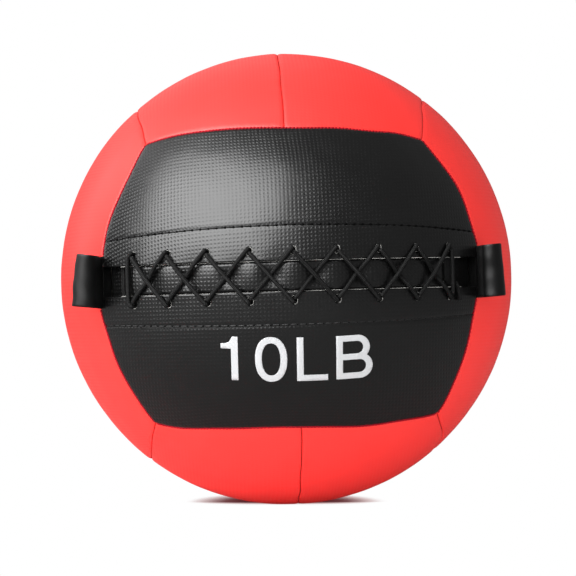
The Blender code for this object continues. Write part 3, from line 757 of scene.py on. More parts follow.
def tongue_surface(azimuth, height):
    """Distance of the tongue's face from the ball's centre."""
    across = np.abs(height)
    sewn_from = EYELET_ROW + EYELET_LENGTH / 2
    share = np.clip((across - sewn_from) / (TONGUE_HALF_WIDTH - TONGUE_MARGIN - sewn_from), 0, 1)
    inside_slit = 1 / (1 + (across / BULGE_HALF_WIDTH) ** BULGE_STEEPNESS)
    stop = eyelet_azimuth(LAST_EYELET) + np.where(azimuth < 0, *BULGE_ENDS) / RADIUS
    before_end = np.clip((stop - np.abs(azimuth)) * RADIUS / TONGUE_FADE, 0, 1)
    fade = before_end * before_end * (3 - 2 * before_end)
    pillow = (1 + np.cos(azimuth / (EYELET_PITCH / RADIUS) * 2 * math.pi)) / 2
    lift = PILLOW_HEIGHT * pillow * (1 - (across / PILLOW_HALF_WIDTH) ** 2).clip(0)
    dip = CROSSING_DIP * (1 - pillow) ** 2 * np.exp(-((across / CROSSING_HALF_WIDTH) ** 2))
    billow = inside_slit * fade * (TONGUE_BULGE + lift - dip)
    return TONGUE_TOP + billow + (BACKING_UNDERSIDE - SHEET_GAP - TONGUE_TOP) * share


height, azimuth = np.meshgrid(
    np.linspace(-TONGUE_HALF_WIDTH, TONGUE_HALF_WIDTH, TONGUE_ROWS),
    np.linspace(-TONGUE_REACH, TONGUE_REACH, TONGUE_COLUMNS),
    indexing="ij",
)
tongue_points = front_point(azimuth, height, tongue_surface(azimuth, height))
tongue_flat = np.stack([RADIUS * azimuth, height], axis=-1)
tongue = from_grid(
    "lacing_tongue_sheet", tongue_points, tongue_flat, "cover_flat", BLACK_VINYL, outward=(0, -1, 0)
)
thicken(tongue, COVER_THICKNESS)
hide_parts("lacing_tongue")
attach(tongue, "ball")

for node in ("upper_eyelet_backing", "lower_eyelet_backing"):
    CAD_NODES[node].data.materials[0] = SCRIM
print(f"tongue: {2 * TONGUE_HALF_WIDTH * 1000:.1f} x {2 * TONGUE_REACH * RADIUS * 1000:.0f} mm when flat")


# %% [markdown]
# The flaps are cut, not folded, so the white cloth under the coat shows as a thin frayed line along the
# slit, in some places more than in others. It is a thin cord of cloth that runs in the cut.

# %% Raw edges of the slit
RAW_EDGE_STEPS = 420
RAW_EDGE_SIDES = 8
RAW_EDGE_DEPTH = 0.0005  # under the cover's surface
RAW_EDGE_INSET = 0.00016
RAW_EDGE_RADIUS = 0.00011
RAW_EDGE_CORE = 0.00005
FRAY_BEATS, PATCH_BEATS = 160, 14  # per radian
FRAY_HEIGHT = 0.0001
WHITE_RISE = 0.9  # the white shows more towards the right, by all of it over this azimuth
WHITE_PATCHES = 1.4
SLIT_END = math.radians(42)  # past this the cut edge shows its white whole


def tube(name, line, radius, sides, material):
    """A round piece along a line. The flat map has metres along and turns around."""
    ahead = np.roll(line, -1, 0) - np.roll(line, 1, 0)
    ahead[0], ahead[-1] = line[1] - line[0], line[-1] - line[-2]
    ahead /= np.linalg.norm(ahead, axis=1)[:, None]
    side = np.cross(ahead[0], [0, 0, 1.0])
    frames = []
    for heading in ahead:
        side = side - heading * (side @ heading)
        side /= np.linalg.norm(side)
        frames.append((side, np.cross(heading, side)))
    frames = np.array(frames)
    angles = np.linspace(0, 2 * math.pi, sides, endpoint=False)
    turns = np.stack([np.cos(angles), np.sin(angles)], axis=1)
    points = line[:, None] + (turns @ frames) * radius[:, None, None]
    steps = np.linalg.norm(np.diff(line, axis=0), axis=1)
    lengths = np.concatenate([[0], np.cumsum(steps)])
    flat = np.stack(np.broadcast_arrays(lengths[:, None], (angles / (2 * math.pi))[None, :]), axis=-1)
    thing = from_grid(name, points, flat, "cord_flat", material, wraps=True)
    shape = bmesh.new()
    shape.from_mesh(thing.data)
    bmesh.ops.holes_fill(shape, edges=[e for e in shape.edges if e.is_boundary])
    bmesh.ops.recalc_face_normals(shape, faces=shape.faces)
    shape.to_mesh(thing.data)
    shape.free()
    return thing


for side, word, least in ((1, "upper", 0.35), (-1, "lower", 0.15)):
    azimuths = np.linspace(-SLIT_REACH, SLIT_REACH, RAW_EDGE_STEPS)
    fray = np.array([noise.noise(Vector((azimuth * FRAY_BEATS, side * 5, 0))) for azimuth in azimuths])
    patchy = np.array([noise.noise(Vector((azimuth * PATCH_BEATS, side * 5, 2))) for azimuth in azimuths])
    shows = np.clip(least + azimuths / WHITE_RISE + WHITE_PATCHES * patchy, 0, 1)
    shows[np.abs(azimuths) > SLIT_END] = 1
    heights = side * (SLIT_HALF_GAP - RAW_EDGE_INSET - FRAY_HEIGHT * fray)
    line = front_point(azimuths, heights, RADIUS - RAW_EDGE_DEPTH)
    radii = RAW_EDGE_CORE + (RAW_EDGE_RADIUS + RAW_EDGE_CORE * fray) * shows
    edge = tube(f"{word}_slit_raw_edge", line, radii, RAW_EDGE_SIDES, SCRIM)
    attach(edge, "ball")
    print(edge.name, triangles(edge))


# %% [markdown]
# What repeats is made with Geometry Nodes. These helpers start a tree, add its nodes, end it and run it.


# %% Geometry trees
def input_socket(tree, name, kind, value):
    """A named input of a tree, as the identifier by which a modifier sets it."""
    socket = tree.interface.new_socket(name=name, in_out="INPUT", socket_type=kind)
    if value is not None:
        socket.default_value = value
    return socket.identifier


def geometry_tree(name):
    """An empty tree, a short way to add a node, one to add a Math node, and the tree's ending."""
    tree = bpy.data.node_groups.new(name, "GeometryNodeTree")
    tree.interface.new_socket(name="Geometry", in_out="INPUT", socket_type="NodeSocketGeometry")
    tree.interface.new_socket(name="Geometry", in_out="OUTPUT", socket_type="NodeSocketGeometry")

    def step(kind, settings=None, **inputs):
        """Adds a node; each input is a value or the socket that it is linked to."""
        node = tree.nodes.new(kind)
        for key, value in (settings or {}).items():
            setattr(node, key, value)
        for key, value in inputs.items():
            socket = node.inputs[key.replace("_", " ")]
            if isinstance(value, bpy.types.NodeSocket):
                tree.links.new(value, socket)
            else:
                socket.default_value = value
        return node

    def maths(operation, first, second=None):
        node = step("ShaderNodeMath", {"operation": operation})
        tree.links.new(first, node.inputs[0])
        if isinstance(second, bpy.types.NodeSocket):
            tree.links.new(second, node.inputs[1])
        elif second is not None:
            node.inputs[1].default_value = second
        return node.outputs[0]

    def close(instances, material):
        """Ends the tree: real copies, their material and smooth shading."""
        real = step("GeometryNodeRealizeInstances", Geometry=instances)
        dressed = step("GeometryNodeSetMaterial", Geometry=real.outputs["Geometry"], Material=material)
        smooth = step("GeometryNodeSetShadeSmooth", Geometry=dressed.outputs["Geometry"])
        step("NodeGroupOutput", Geometry=smooth.outputs[0])

    return tree, step, maths, close


def run_tree(thing, tree, values):
    """Runs a tree on an object, with its inputs set by identifier, and keeps the mesh."""
    made = thing.modifiers.new(tree.name, "NODES")
    made.node_group = tree
    for identifier, value in values.items():
        made[identifier] = value
    thing.update_tag()
    return settle(thing)


# %% [markdown]
# The same white cloth shows round each punched hole: one thin oval ring, set on a point at each hole.

# %% Rims of the holes
RIM_RADIUS = 0.00026
RIM_DEPTH = 0.0006  # under the cover's surface

rim_tree, step, maths, close = geometry_tree("eyelet_rims")
rim_width = input_socket(rim_tree, "Hole Width", "NodeSocketFloat", EYELET_WIDTH)
rim_length = input_socket(rim_tree, "Hole Length", "NodeSocketFloat", EYELET_LENGTH)
rim_radius = input_socket(rim_tree, "Rim Radius", "NodeSocketFloat", RIM_RADIUS)
rim_material = input_socket(rim_tree, "Material", "NodeSocketMaterial", None)
given = step("NodeGroupInput").outputs
ring_radius = maths("DIVIDE", maths("SUBTRACT", given["Hole Width"], given["Rim Radius"]), 2.0)
ring = step("GeometryNodeCurvePrimitiveCircle", Resolution=HOLE_POINTS, Radius=ring_radius)
half_spare = maths("DIVIDE", maths("SUBTRACT", given["Hole Length"], given["Hole Width"]), 2.0)
position = step("GeometryNodeInputPosition").outputs[0]
height = step("ShaderNodeSeparateXYZ", Vector=position).outputs["Y"]
offset = step("ShaderNodeCombineXYZ", Y=maths("MULTIPLY", maths("SIGN", height), half_spare))
stretched = step("GeometryNodeSetPosition", Geometry=ring.outputs["Curve"], Offset=offset.outputs[0])
profile = step("GeometryNodeCurvePrimitiveCircle", Resolution=8, Radius=given["Rim Radius"])
rim_mesh = step(
    "GeometryNodeCurveToMesh", Curve=stretched.outputs[0], Profile_Curve=profile.outputs["Curve"]
)
turned = step("GeometryNodeInputNamedAttribute", {"data_type": "FLOAT_VECTOR"}, Name="turned")
placed = step(
    "GeometryNodeInstanceOnPoints",
    Points=given["Geometry"],
    Instance=rim_mesh.outputs["Mesh"],
    Rotation=turned.outputs["Attribute"],
)
close(placed.outputs["Instances"], given["Material"])

hole_spots, hole_turns = [], []
for index in range(EYELET_PAIRS):
    for row in (-EYELET_ROW, EYELET_ROW):
        spot = front_point(eyelet_azimuth(index), row + ROW_RISE, RADIUS - RIM_DEPTH)
        outward = Vector(spot - CENTRE)
        hole_spots.append(spot)
        hole_turns.append(outward.to_track_quat("Z", "Y").to_euler())
rim_mesh_data = bpy.data.meshes.new("eyelet_cut_rims")
rim_mesh_data.from_pydata([tuple(s) for s in hole_spots], [], [])
attribute = rim_mesh_data.attributes.new("turned", "FLOAT_VECTOR", "POINT")
attribute.data.foreach_set("vector", np.array(hole_turns, np.float32).ravel())
rims = put_in_scene("eyelet_cut_rims", rim_mesh_data)
run_tree(
    rims,
    rim_tree,
    {rim_width: EYELET_WIDTH, rim_length: EYELET_LENGTH, rim_radius: RIM_RADIUS, rim_material: SCRIM},
)
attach(rims, "ball")
print("rims:", triangles(rims))

# %% [markdown]
# The lace is one cord. It passes twice through each hole: from every hole one leg leaves to the left and
# one to the right over the flaps, and behind them short runs join neighbouring holes. The route is found
# by following that rule from end to end, then the corners are eased as a soft cord's are.

# %% The lace's route
LACE_SPREAD = 0.0006  # the two passes through a hole lie this far to its left and right
FAR_PASS = 0.0016  # and this far past its middle and before it, seen from the slit
NEAR_PASS = -0.0015
CROSSING_GAP = 0.0004
CROSSING_RISE = 0.0005
FALLING_LEGS_ON_TOP = 6  # crossings, from the left, whose leg from upper left lies on top
BAR_BOW = 0.0026  # how far the bar at the left end keeps clear of the near passes
JOIN_OFFSET = 0.0145  # from the first holes to the hidden run that joins the rows
TAIL_OFFSET = 0.0055  # from the last holes to the loose tail
TAIL_REACH = 0.0095
TAIL_DRIFT = 0.003
FLAP_EDGE = SLIT_HALF_GAP - LACE_RADIUS / 2  # where the lace comes off a flap


def lace_place(row, index, far):
    """Azimuth and height of one pass through a hole; far is the pass on the side away from the slit."""
    aside = -LACE_SPREAD if far else LACE_SPREAD
    height = EYELET_ROW + (FAR_PASS if far else NEAR_PASS)
    return eyelet_azimuth(index) + aside / RADIUS, row * height + ROW_RISE


def over_partner(row, index, far):
    """The pass to which the cord runs over the flaps."""
    if far:
        return (-row, index - 1, False) if index > 0 else (-row, index, True)
    return (-row, index + 1, True) if index < LAST_EYELET else (-row, index, False)


def under_partner(row, index, far):
    """The pass to which it runs behind them, or None where that run ends."""
    turning = (1, EYELET_PAIRS // 2)
    step = 1 if far else -1
    if (row, index) == turning:
        return row, index - step, far
    if (row, index + step) == turning:
        return row, index + step, far
    return (row, index + step, not far) if 0 <= index + step <= LAST_EYELET else None


def leg_points(start, end):
    """The points of one leg over the flaps, between its two holes."""
    row, index, far = start
    if index == end[1]:
        heights = [EYELET_ROW + NEAR_PASS, FLAP_EDGE] if far else [FLAP_EDGE]
        bow = -LACE_SPREAD - BAR_BOW if far else LACE_SPREAD
        signed = [row * height for height in heights] + [-row * height for height in heights[::-1]]
        return [front_point(eyelet_azimuth(index) + bow / RADIUS, height, LACE_OVER) for height in signed]
    start_azimuth, start_height = lace_place(*start)
    end_azimuth, end_height = lace_place(*end)
    falls = (index < end[1]) == (row > 0)
    on_top = falls == (min(index, end[1]) < FALLING_LEGS_ON_TOP)
    crest = LACE_OVER + CROSSING_RISE
    middle = crest if on_top else crest - LACE_DIAMETER - CROSSING_GAP
    points = []
    for height, level in ((row * FLAP_EDGE, LACE_OVER), (0, middle), (-row * FLAP_EDGE, LACE_OVER)):
        share = (height - start_height) / (end_height - start_height)
        points.append(front_point(start_azimuth + (end_azimuth - start_azimuth) * share, height, level))
    return points


def lace_route():
    """The whole cord, from its hidden start to its loose tail."""
    here = (1, LAST_EYELET, True)
    azimuth, height = lace_place(*here)
    route = [front_point(azimuth + TAIL_REACH / RADIUS, height, LACE_UNDER)]
    while here:
        there = over_partner(*here)
        route += [front_point(*lace_place(*here), level) for level in (LACE_UNDER, LACE_OVER)]
        route += leg_points(here, there)
        route += [front_point(*lace_place(*there), level) for level in (LACE_OVER, LACE_UNDER)]
        here = under_partner(*there)
        if here is None and there == (-1, 0, False):
            azimuth = eyelet_azimuth(0) - JOIN_OFFSET / RADIUS
            near = EYELET_ROW + NEAR_PASS
            heights = (-near, -FLAP_EDGE, 0, FLAP_EDGE, near)
            route += [front_point(azimuth, height, LACE_UNDER) for height in heights]
            here = (1, 0, False)
    azimuth = eyelet_azimuth(LAST_EYELET) + TAIL_OFFSET / RADIUS
    middle, bend = (LACE_OVER + LACE_UNDER) / 2, (LACE_OVER - LACE_UNDER) / 2
    route.append(front_point(azimuth, -EYELET_ROW - FAR_PASS, LACE_UNDER))
    for angle in np.linspace(0, math.pi, 5):
        height = -SLIT_HALF_GAP + bend * math.sin(angle)
        route.append(front_point(azimuth, height, middle - bend * math.cos(angle)))
    route.append(front_point(azimuth + TAIL_DRIFT / RADIUS, -SLIT_HALF_GAP - TAIL_REACH, LACE_OVER))
    return np.array(route)


# %% [markdown]
# A soft cord bends gently, and each hole squeezes the two passes that it holds.

# %% The lace as a cord
LACE_EASE, LACE_FINE_STEP, LACE_STEP = 0.0016, 0.0002, 0.00045
LACE_SIDES = 14
PULLED_THIN = 0.99  # share of its thickness that the lace keeps when it is pulled tight
SQUEEZED = 0.8  # and what is left of it where a hole holds it
HOLE_GRIP_REACH = 0.0016


def resample(line, pitch):
    """The same line with points an even distance apart."""
    lengths = np.concatenate([[0], np.cumsum(np.linalg.norm(np.diff(line, axis=0), axis=1))])
    stops = np.linspace(0, lengths[-1], max(2, round(lengths[-1] / pitch)))
    return np.stack([np.interp(stops, lengths, line[:, axis]) for axis in range(3)], axis=1)


def eased(line, reach, pitch):
    """Rounds the corners: each point becomes a weighted mean of those within reach."""
    fine = resample(line, pitch)
    span = round(reach / pitch)
    weights = np.hanning(2 * span + 3)[1:-1]
    weights /= weights.sum()
    padded = np.concatenate([np.repeat(fine[:1], span, 0), fine, np.repeat(fine[-1:], span, 0)])
    return np.stack([np.convolve(padded[:, axis], weights, "valid") for axis in range(3)], axis=1)


lace_line = resample(eased(lace_route(), LACE_EASE, LACE_FINE_STEP), LACE_STEP)
lace_steps = np.linalg.norm(np.diff(lace_line, axis=0), axis=1)
lace_depth = RADIUS - np.linalg.norm(lace_line - CENTRE, axis=1)
in_hole = np.exp(-(((lace_depth - COVER_THICKNESS / 2) / HOLE_GRIP_REACH) ** 2))
in_hole *= np.abs(lace_line[:, 2] - CENTRE[2]) > EYELET_ROW - EYELET_LENGTH / 2
lace_radii = LACE_RADIUS * (PULLED_THIN - (1 - SQUEEZED) * in_hole)
lace = tube("lace_cord", lace_line, lace_radii, LACE_SIDES, CORD)
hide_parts("lace")
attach(lace, "ball")
print(f"lace: {lace_steps.sum():.2f} m, {triangles(lace)} triangles")

# %% [markdown]
# A strap of satin webbing is folded into a loop and sewn into the seam at each end of the lacing. Its
# outline is a teardrop, wider in its round than at its root. The strap's edges are a little thinner, and
# it waves a little, as a soft strap does.

# %% Webbing loops
STRAP_WIDTH = 0.0385
STRAP_THICKNESS = 0.0014
LOOP_RADIUS = 0.0085
LOOP_REACH = 0.0122  # hinge line to the middle of the round of the loop
LOOP_LEAN = math.radians(84)  # above the cover, measured from its outer side
ROOT_RADIUS = 0.0017
ROOT_HEIGHT = 0.0012  # hinge line above the cover
NECK_LENGTH = 0.003  # where both layers are sewn together
NECK_RADIUS = 0.0003
STRAP_WAVES = ((1, 0.00035, 3.1), (2, 0.00022, 8.0))  # turn, height and beat of each wave of the strap
SWAY_SHARES = (1.0, 0.4)
SHARP_EDGE = math.radians(50)
ROUND_STEPS, ROOT_STEPS, WIDTH_STEPS = 60, 12, 41
SELVEDGE = 0.045  # share of the half width over which the strap thins to its edge
SELVEDGE_THINNING = 0.28
SLANT_REACH = 0.017  # distance from the seam at which a loop's foot is tipped out in full
# how far each loop is turned to the face, widened and drawn out, how its free end rises and leans out
LOOP_SLANTS = {
    (-1, "left"): {"lean_in": 0.0, "widened": 1.0, "drawn_out": 1.03, "rise": 0.125, "lean_out": 0.10},
    (1, "right"): {"lean_in": 0.10, "widened": 1.08, "drawn_out": 0.92, "rise": 0.07, "lean_out": 0.065},
}


def teardrop(near, near_radius, far, far_radius):
    """The outline of a small round and a large one with straight flanks between them."""
    line = far - near
    heading = math.atan2(line[1], line[0])
    spread = math.pi / 2 + math.asin((far_radius - near_radius) / np.linalg.norm(line))
    wide = np.linspace(heading - spread, heading + spread, ROUND_STEPS)
    tight = np.linspace(heading + spread, heading + 2 * math.pi - spread, ROOT_STEPS)
    outline = [far + far_radius * np.array([math.cos(a), math.sin(a)]) for a in wide]
    outline += [near + near_radius * np.array([math.cos(a), math.sin(a)]) for a in tight]
    return np.array(outline)


def webbing_loop(name, side, seed, lean_in, widened, drawn_out, rise, lean_out):
    """One loop, built about its hinge line and then set on the seam."""
    lean = np.array([-side * math.cos(LOOP_LEAN + lean_in), math.sin(LOOP_LEAN + lean_in)])
    middle = lean * LOOP_REACH
    outside = teardrop(np.zeros(2), ROOT_RADIUS, middle, LOOP_RADIUS)
    inside = teardrop(lean * NECK_LENGTH, NECK_RADIUS, middle, LOOP_RADIUS - STRAP_THICKNESS)
    steps = np.linalg.norm(np.diff(np.concatenate([outside, outside[:1]]), axis=0), axis=1)
    around = np.concatenate([[0], np.cumsum(steps)])[:-1]
    reach = np.clip(np.linalg.norm(outside, axis=1) / (2 * LOOP_RADIUS), 0, 1)[:, None]
    stretch = 1 + (drawn_out - 1) * reach
    levels = np.linspace(-1, 1, WIDTH_STEPS)
    rows, flats = [], []
    for share in levels:
        thinned = SELVEDGE_THINNING * np.clip((abs(share) - 1 + SELVEDGE) / SELVEDGE, 0, 1) ** 2
        low = outside + (inside - outside) * thinned
        high = inside + (outside - inside) * thinned
        waves = [size * np.sin(share * beat + turn * seed) for turn, size, beat in STRAP_WAVES]
        sway = reach * sum(waves) * np.array(SWAY_SHARES)
        ring = np.concatenate([(low + sway) * stretch, ((high + sway) * stretch)[::-1]])
        level = np.full(len(ring), share * STRAP_WIDTH / 2)
        rows.append(np.column_stack([ring * np.array([widened, 1.0]), level]))
        flats.append(np.column_stack([np.concatenate([around, around[::-1]]), level]))
    points, flat = np.array(rows), np.array(flats)
    count = len(outside)
    outward = np.array([side * math.sin(FACE_REACH), -math.cos(FACE_REACH)])
    heading = math.atan2(outward[1], outward[0]) - math.pi / 2
    turn = np.array([[math.cos(heading), -math.sin(heading)], [math.sin(heading), math.cos(heading)]])
    hinge = CENTRE + np.array([*outward, 0]) * (RADIUS + ROOT_HEIGHT)
    level_place = points[..., :2] @ turn.T
    run = side * level_place[..., :1]
    height = points[..., 2:]
    tipped = level_place[..., :1] - side * lean_out * height * np.clip(run / SLANT_REACH, 0, 1.2)
    world = np.concatenate([tipped, level_place[..., 1:], height + rise * run], axis=-1) + hinge
    shape = bmesh.new()
    maps = shape.loops.layers.uv.new("strap_flat")
    grid = [[shape.verts.new(spot) for spot in row] for row in world]

    def face(spots):
        made = shape.faces.new([grid[r][c] for r, c in spots])
        made.smooth = True
        for loop, (r, c) in zip(made.loops, spots):
            loop[maps].uv = flat[r, c]

    for row in range(len(levels) - 1):
        for c in range(count):
            after = (c + 1) % count
            face([(row, c), (row, after), (row + 1, after), (row + 1, c)])
            back, back_after = 2 * count - 1 - c, 2 * count - 1 - after
            face([(row, back_after), (row, back), (row + 1, back), (row + 1, back_after)])
    for row in (0, len(levels) - 1):
        for c in range(count):
            after = (c + 1) % count
            face([(row, c), (row, after), (row, 2 * count - 1 - after), (row, 2 * count - 1 - c)])
    bmesh.ops.recalc_face_normals(shape, faces=shape.faces)
    mesh = bpy.data.meshes.new(name)
    shape.to_mesh(mesh)
    shape.free()
    mesh.set_sharp_from_angle(angle=SHARP_EDGE)
    mesh.materials.append(WEBBING)
    return put_in_scene(name, mesh)


for (side, word), slant in LOOP_SLANTS.items():
    loop = webbing_loop(f"{word}_loop_strap", side, 1.7 * (side + 2), **slant)
    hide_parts(f"{word}_handle_loop")
    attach(loop, f"{word}_handle")
    CAD_NODES[f"{word}_handle_anchor"].data.materials[0] = WEBBING
    print(loop.name, triangles(loop))

# %% [markdown]
# Stitches repeat along a line, so one Geometry Nodes tree sews them all: it walks the line at an even
# pitch and sets a small grain of thread on each point, along the line or turned a little across it.

# %% A tree that sews
sew_tree, step, maths, close = geometry_tree("sewn_row")
sew_pitch = input_socket(sew_tree, "Pitch", "NodeSocketFloat", 0.006)
sew_length = input_socket(sew_tree, "Stitch Length", "NodeSocketFloat", 0.004)
sew_radius = input_socket(sew_tree, "Thread Radius", "NodeSocketFloat", 0.0004)
sew_turn = input_socket(sew_tree, "Turn", "NodeSocketFloat", 0.0)
sew_material = input_socket(sew_tree, "Material", "NodeSocketMaterial", None)
given = step("NodeGroupInput").outputs
curve = step("GeometryNodeMeshToCurve", Mesh=given["Geometry"]).outputs["Curve"]
walked = step("GeometryNodeCurveToPoints", {"mode": "LENGTH"}, Curve=curve, Length=given["Pitch"])
grain = step("GeometryNodeMeshUVSphere", Segments=8, Rings=6, Radius=1.0)
thread = given["Thread Radius"]
size = step("ShaderNodeCombineXYZ", X=thread, Y=thread, Z=maths("DIVIDE", given["Stitch Length"], 2.0))
outward = step("GeometryNodeInputNamedAttribute", {"data_type": "FLOAT_VECTOR"}, Name="outward")
spin = step("FunctionNodeAxisAngleToRotation", Axis=outward.outputs["Attribute"], Angle=given["Turn"])
along_line = step("FunctionNodeAlignRotationToVector", {"axis": "Z"}, Vector=walked.outputs["Tangent"])
spun = step(
    "FunctionNodeRotateRotation",
    {"rotation_space": "GLOBAL"},
    Rotation=along_line.outputs[0],
    Rotate_By=spin.outputs[0],
)
sewn = step(
    "GeometryNodeInstanceOnPoints",
    Points=walked.outputs["Points"],
    Instance=grain.outputs["Mesh"],
    Rotation=spun.outputs[0],
    Scale=size.outputs[0],
)
close(sewn.outputs["Instances"], given["Material"])


def sew(name, lines, pitch, length, radius, turn, material):
    """Rows of stitches as one piece; each line is a list of points."""
    spots, edges = [], []
    for line in lines:
        first = len(spots)
        spots += [tuple(spot) for spot in line]
        edges += [(i, i + 1) for i in range(first, len(spots) - 1)]
    mesh = bpy.data.meshes.new(name)
    mesh.from_pydata(spots, edges, [])
    outward = np.array(spots) - CENTRE
    outward /= np.linalg.norm(outward, axis=1)[:, None]
    attribute = mesh.attributes.new("outward", "FLOAT_VECTOR", "POINT")
    attribute.data.foreach_set("vector", outward.astype(np.float32).ravel())
    thing = put_in_scene(name, mesh)
    run_tree(
        thing,
        sew_tree,
        {sew_pitch: pitch, sew_length: length, sew_radius: radius, sew_turn: turn, sew_material: material},
    )
    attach(thing, "ball")
    print(name, triangles(thing))


# %% [markdown]
# A row of stitches holds each backing strip to its flap. The thread lies sunk in its groove, and between each
# two stitches a small dark grain is painted shade, standing for the shadow inside a needle hole.

# %% Rows of stitches beside the slit
STITCH_PITCH = 0.0062
STITCH_RADIUS = 0.00054
STITCH_DEPTH = 0.00045
NEEDLE_MARK_LENGTH = 0.0022
NEEDLE_MARK_DEPTH = 0.0003
TOPSTITCH_REACH = math.radians(49.5)
TOPSTITCH_POINTS = 160


def halfway(line, pitch):
    """Points halfway between those that an even walk along a line would set."""
    steps = np.concatenate([[0], np.cumsum(np.linalg.norm(np.diff(line, axis=0), axis=1))])
    stops = np.arange(pitch / 2, steps[-1], pitch)
    return np.stack([np.interp(stops, steps, line[:, axis]) for axis in range(3)], axis=1)


# Both rows are one thread. The upper row takes its painted-shade copy and larger needle-hole shade marks, so
# that it shows darker.
for side, word, thread, length, mark in (
    (1, "upper", SHADED_THREAD_COPY, 0.0074, 0.0008),
    (-1, "lower", BLACK_THREAD, 0.0066, 0.0004),
):
    azimuths = np.linspace(-TOPSTITCH_REACH, TOPSTITCH_REACH, TOPSTITCH_POINTS)
    line = front_point(azimuths, topstitch_height(azimuths, side), RADIUS - STITCH_DEPTH)
    sew(f"{word}_topstitch", [line], STITCH_PITCH, length, STITCH_RADIUS, 0.0, thread)
    marks = halfway(line, STITCH_PITCH) - CENTRE
    marks = CENTRE + marks * (RADIUS - NEEDLE_MARK_DEPTH) / (RADIUS - STITCH_DEPTH)
    name = f"{word}_needle_hole_shade"
    sew(name, [marks], STITCH_PITCH, NEEDLE_MARK_LENGTH, mark, 0.0, NEEDLE_HOLE_SHADE)

# %% [markdown]
# The seams round both black faces are sewn with dark red thread. It shows as a thin line in the seam. The
# straps cover the front seam where they are sewn in, so no thread is laid there.

# %% Thread in the seams
SEAM_STITCH_PITCH, SEAM_STITCH_LENGTH, SEAM_THREAD_RADIUS = 0.0026, 0.0034, 0.00085
SEAM_STITCH_TURN = 0.35
SEAM_THREAD_DEPTH = 0.0007
STRAP_CLEARANCE = 0.001
LEAST_RUN = 12  # a shorter piece of seam line gets no thread
seam_shares = np.linspace(-0.985, 0.985, 120)
whole = np.ones_like(seam_shares)
open_lines = []
for face in ("front", "rear"):
    outward, long, _, _, halves = FACES[face]
    for across in halves.values():
        runs = [(seam_shares, whole, 1)]
        if across[2] > 0:
            runs += [(end * whole, np.abs(seam_shares), np.sign(seam_shares)) for end in (-1, 1)]
        for turn, rise, half in runs:
            out_part, long_part, across_part = panel_place(turn, rise, 0.0)
            spots = on_face((out_part, long_part, across_part * half), (outward, long, across))
            line = CENTRE + drifted(spots / RADIUS) * (RADIUS - SEAM_THREAD_DEPTH)
            beside_strap = np.abs(line[:, 2] - CENTRE[2]) < STRAP_WIDTH / 2 + STRAP_CLEARANCE
            strapped = beside_strap & (line[:, 1] < 0)
            parts = np.split(line, np.flatnonzero(np.diff(strapped)) + 1)
            parts = [part for part in parts if len(part) > LEAST_RUN]
            if strapped.any():
                parts = [p for p in parts if abs(p[len(p) // 2, 2] - CENTRE[2]) > STRAP_WIDTH / 2]
            open_lines += parts
sew(
    "seam_stitches",
    open_lines,
    SEAM_STITCH_PITCH,
    SEAM_STITCH_LENGTH,
    SEAM_THREAD_RADIUS,
    SEAM_STITCH_TURN,
    DARK_RED_THREAD,
)

# %% [markdown]
# The weight is printed in white under the lacing, in plain sans letters. Each letter is a flat outline
# that is filled, cut into small faces and laid on the cover, so that it follows the curve.

# %% The printed weight
STROKE = 0.0048
BAR = STROKE * 0.88  # level strokes are a little thinner than upright ones
PRINT_STEP = 0.002
PRINT_LIFT = 0.00018
PRINT_THICKNESS = 0.00015
PRINT_TOP, PRINT_BASE = -0.0439, -0.0750
PRINT_SAG = 0.66  # the line of print curves up at its ends
SAG_MIDDLE = 0.012
ARM_REACH, ARM_DROP, ARM_STROKE = 0.0121, 0.0052, 0.0035  # the flag of the digit one
ROUND_OVERSHOOT = 0.0004
ZERO_SQUARENESS = 2.25
UPPER_BOWL_INSET = 0.0021
ZERO_STEPS, BOWL_STEPS, COUNTER_STEPS = 49, 16, 12


def flat_curve(name, outlines):
    """A filled flat curve from closed outlines, the inner ones as holes."""
    curve = bpy.data.curves.new(name, "CURVE")
    curve.dimensions = "2D"
    curve.fill_mode = "BOTH"
    for outline in outlines:
        spline = curve.splines.new("POLY")
        spline.points.add(len(outline) - 1)
        for spot, (x, y) in zip(spline.points, outline):
            spot.co = (x, y, 0, 1)
        spline.use_cyclic_u = True
    return put_in_scene(name, curve)


def round_ring(middle, radii, start, end, steps, power=2.0):
    """Points of a squarish oval between two angles."""
    spots = []
    for angle in np.linspace(start, end, steps):
        c, s = math.cos(angle), math.sin(angle)
        x = math.copysign(abs(c) ** (2 / power), c) * radii[0]
        y = math.copysign(abs(s) ** (2 / power), s) * radii[1]
        spots.append((middle[0] + x, middle[1] + y))
    return spots


print_height = PRINT_TOP - PRINT_BASE
middle_level = (PRINT_TOP + PRINT_BASE) / 2


def digit_one(right):
    stem = right - STROKE
    arm = right - ARM_REACH
    arm_top, arm_base = PRINT_TOP - ARM_DROP, PRINT_TOP - ARM_DROP - ARM_STROKE
    flag = [(0.0038, 0.0049), (0.0016, 0.0040), (0.0004, 0.0024)]  # the curve of its upper side
    outside = [(right, PRINT_TOP), (right, PRINT_BASE), (stem, PRINT_BASE), (stem, arm_base), (arm, arm_base)]
    outside += [(arm, arm_top)] + [(stem - x, PRINT_TOP - y) for x, y in flag]
    return [outside + [(stem + 0.0010, PRINT_TOP)]]


def digit_zero(left, right):
    middle = ((left + right) / 2, middle_level)
    outer = ((right - left) / 2, print_height / 2 + ROUND_OVERSHOOT)
    hollow = (outer[0] - STROKE, outer[1] - STROKE * 0.92)
    turn = 2 * math.pi
    rings = [round_ring(middle, radii, 0, turn, ZERO_STEPS, ZERO_SQUARENESS) for radii in (outer, hollow)]
    return [ring[:-1] for ring in rings]


def letter_l(left, right):
    foot = PRINT_BASE + BAR
    inner = left + STROKE
    outside = [(left, PRINT_TOP), (left, PRINT_BASE), (right, PRINT_BASE), (right, foot)]
    return [outside + [(inner, foot), (inner, PRINT_TOP)]]


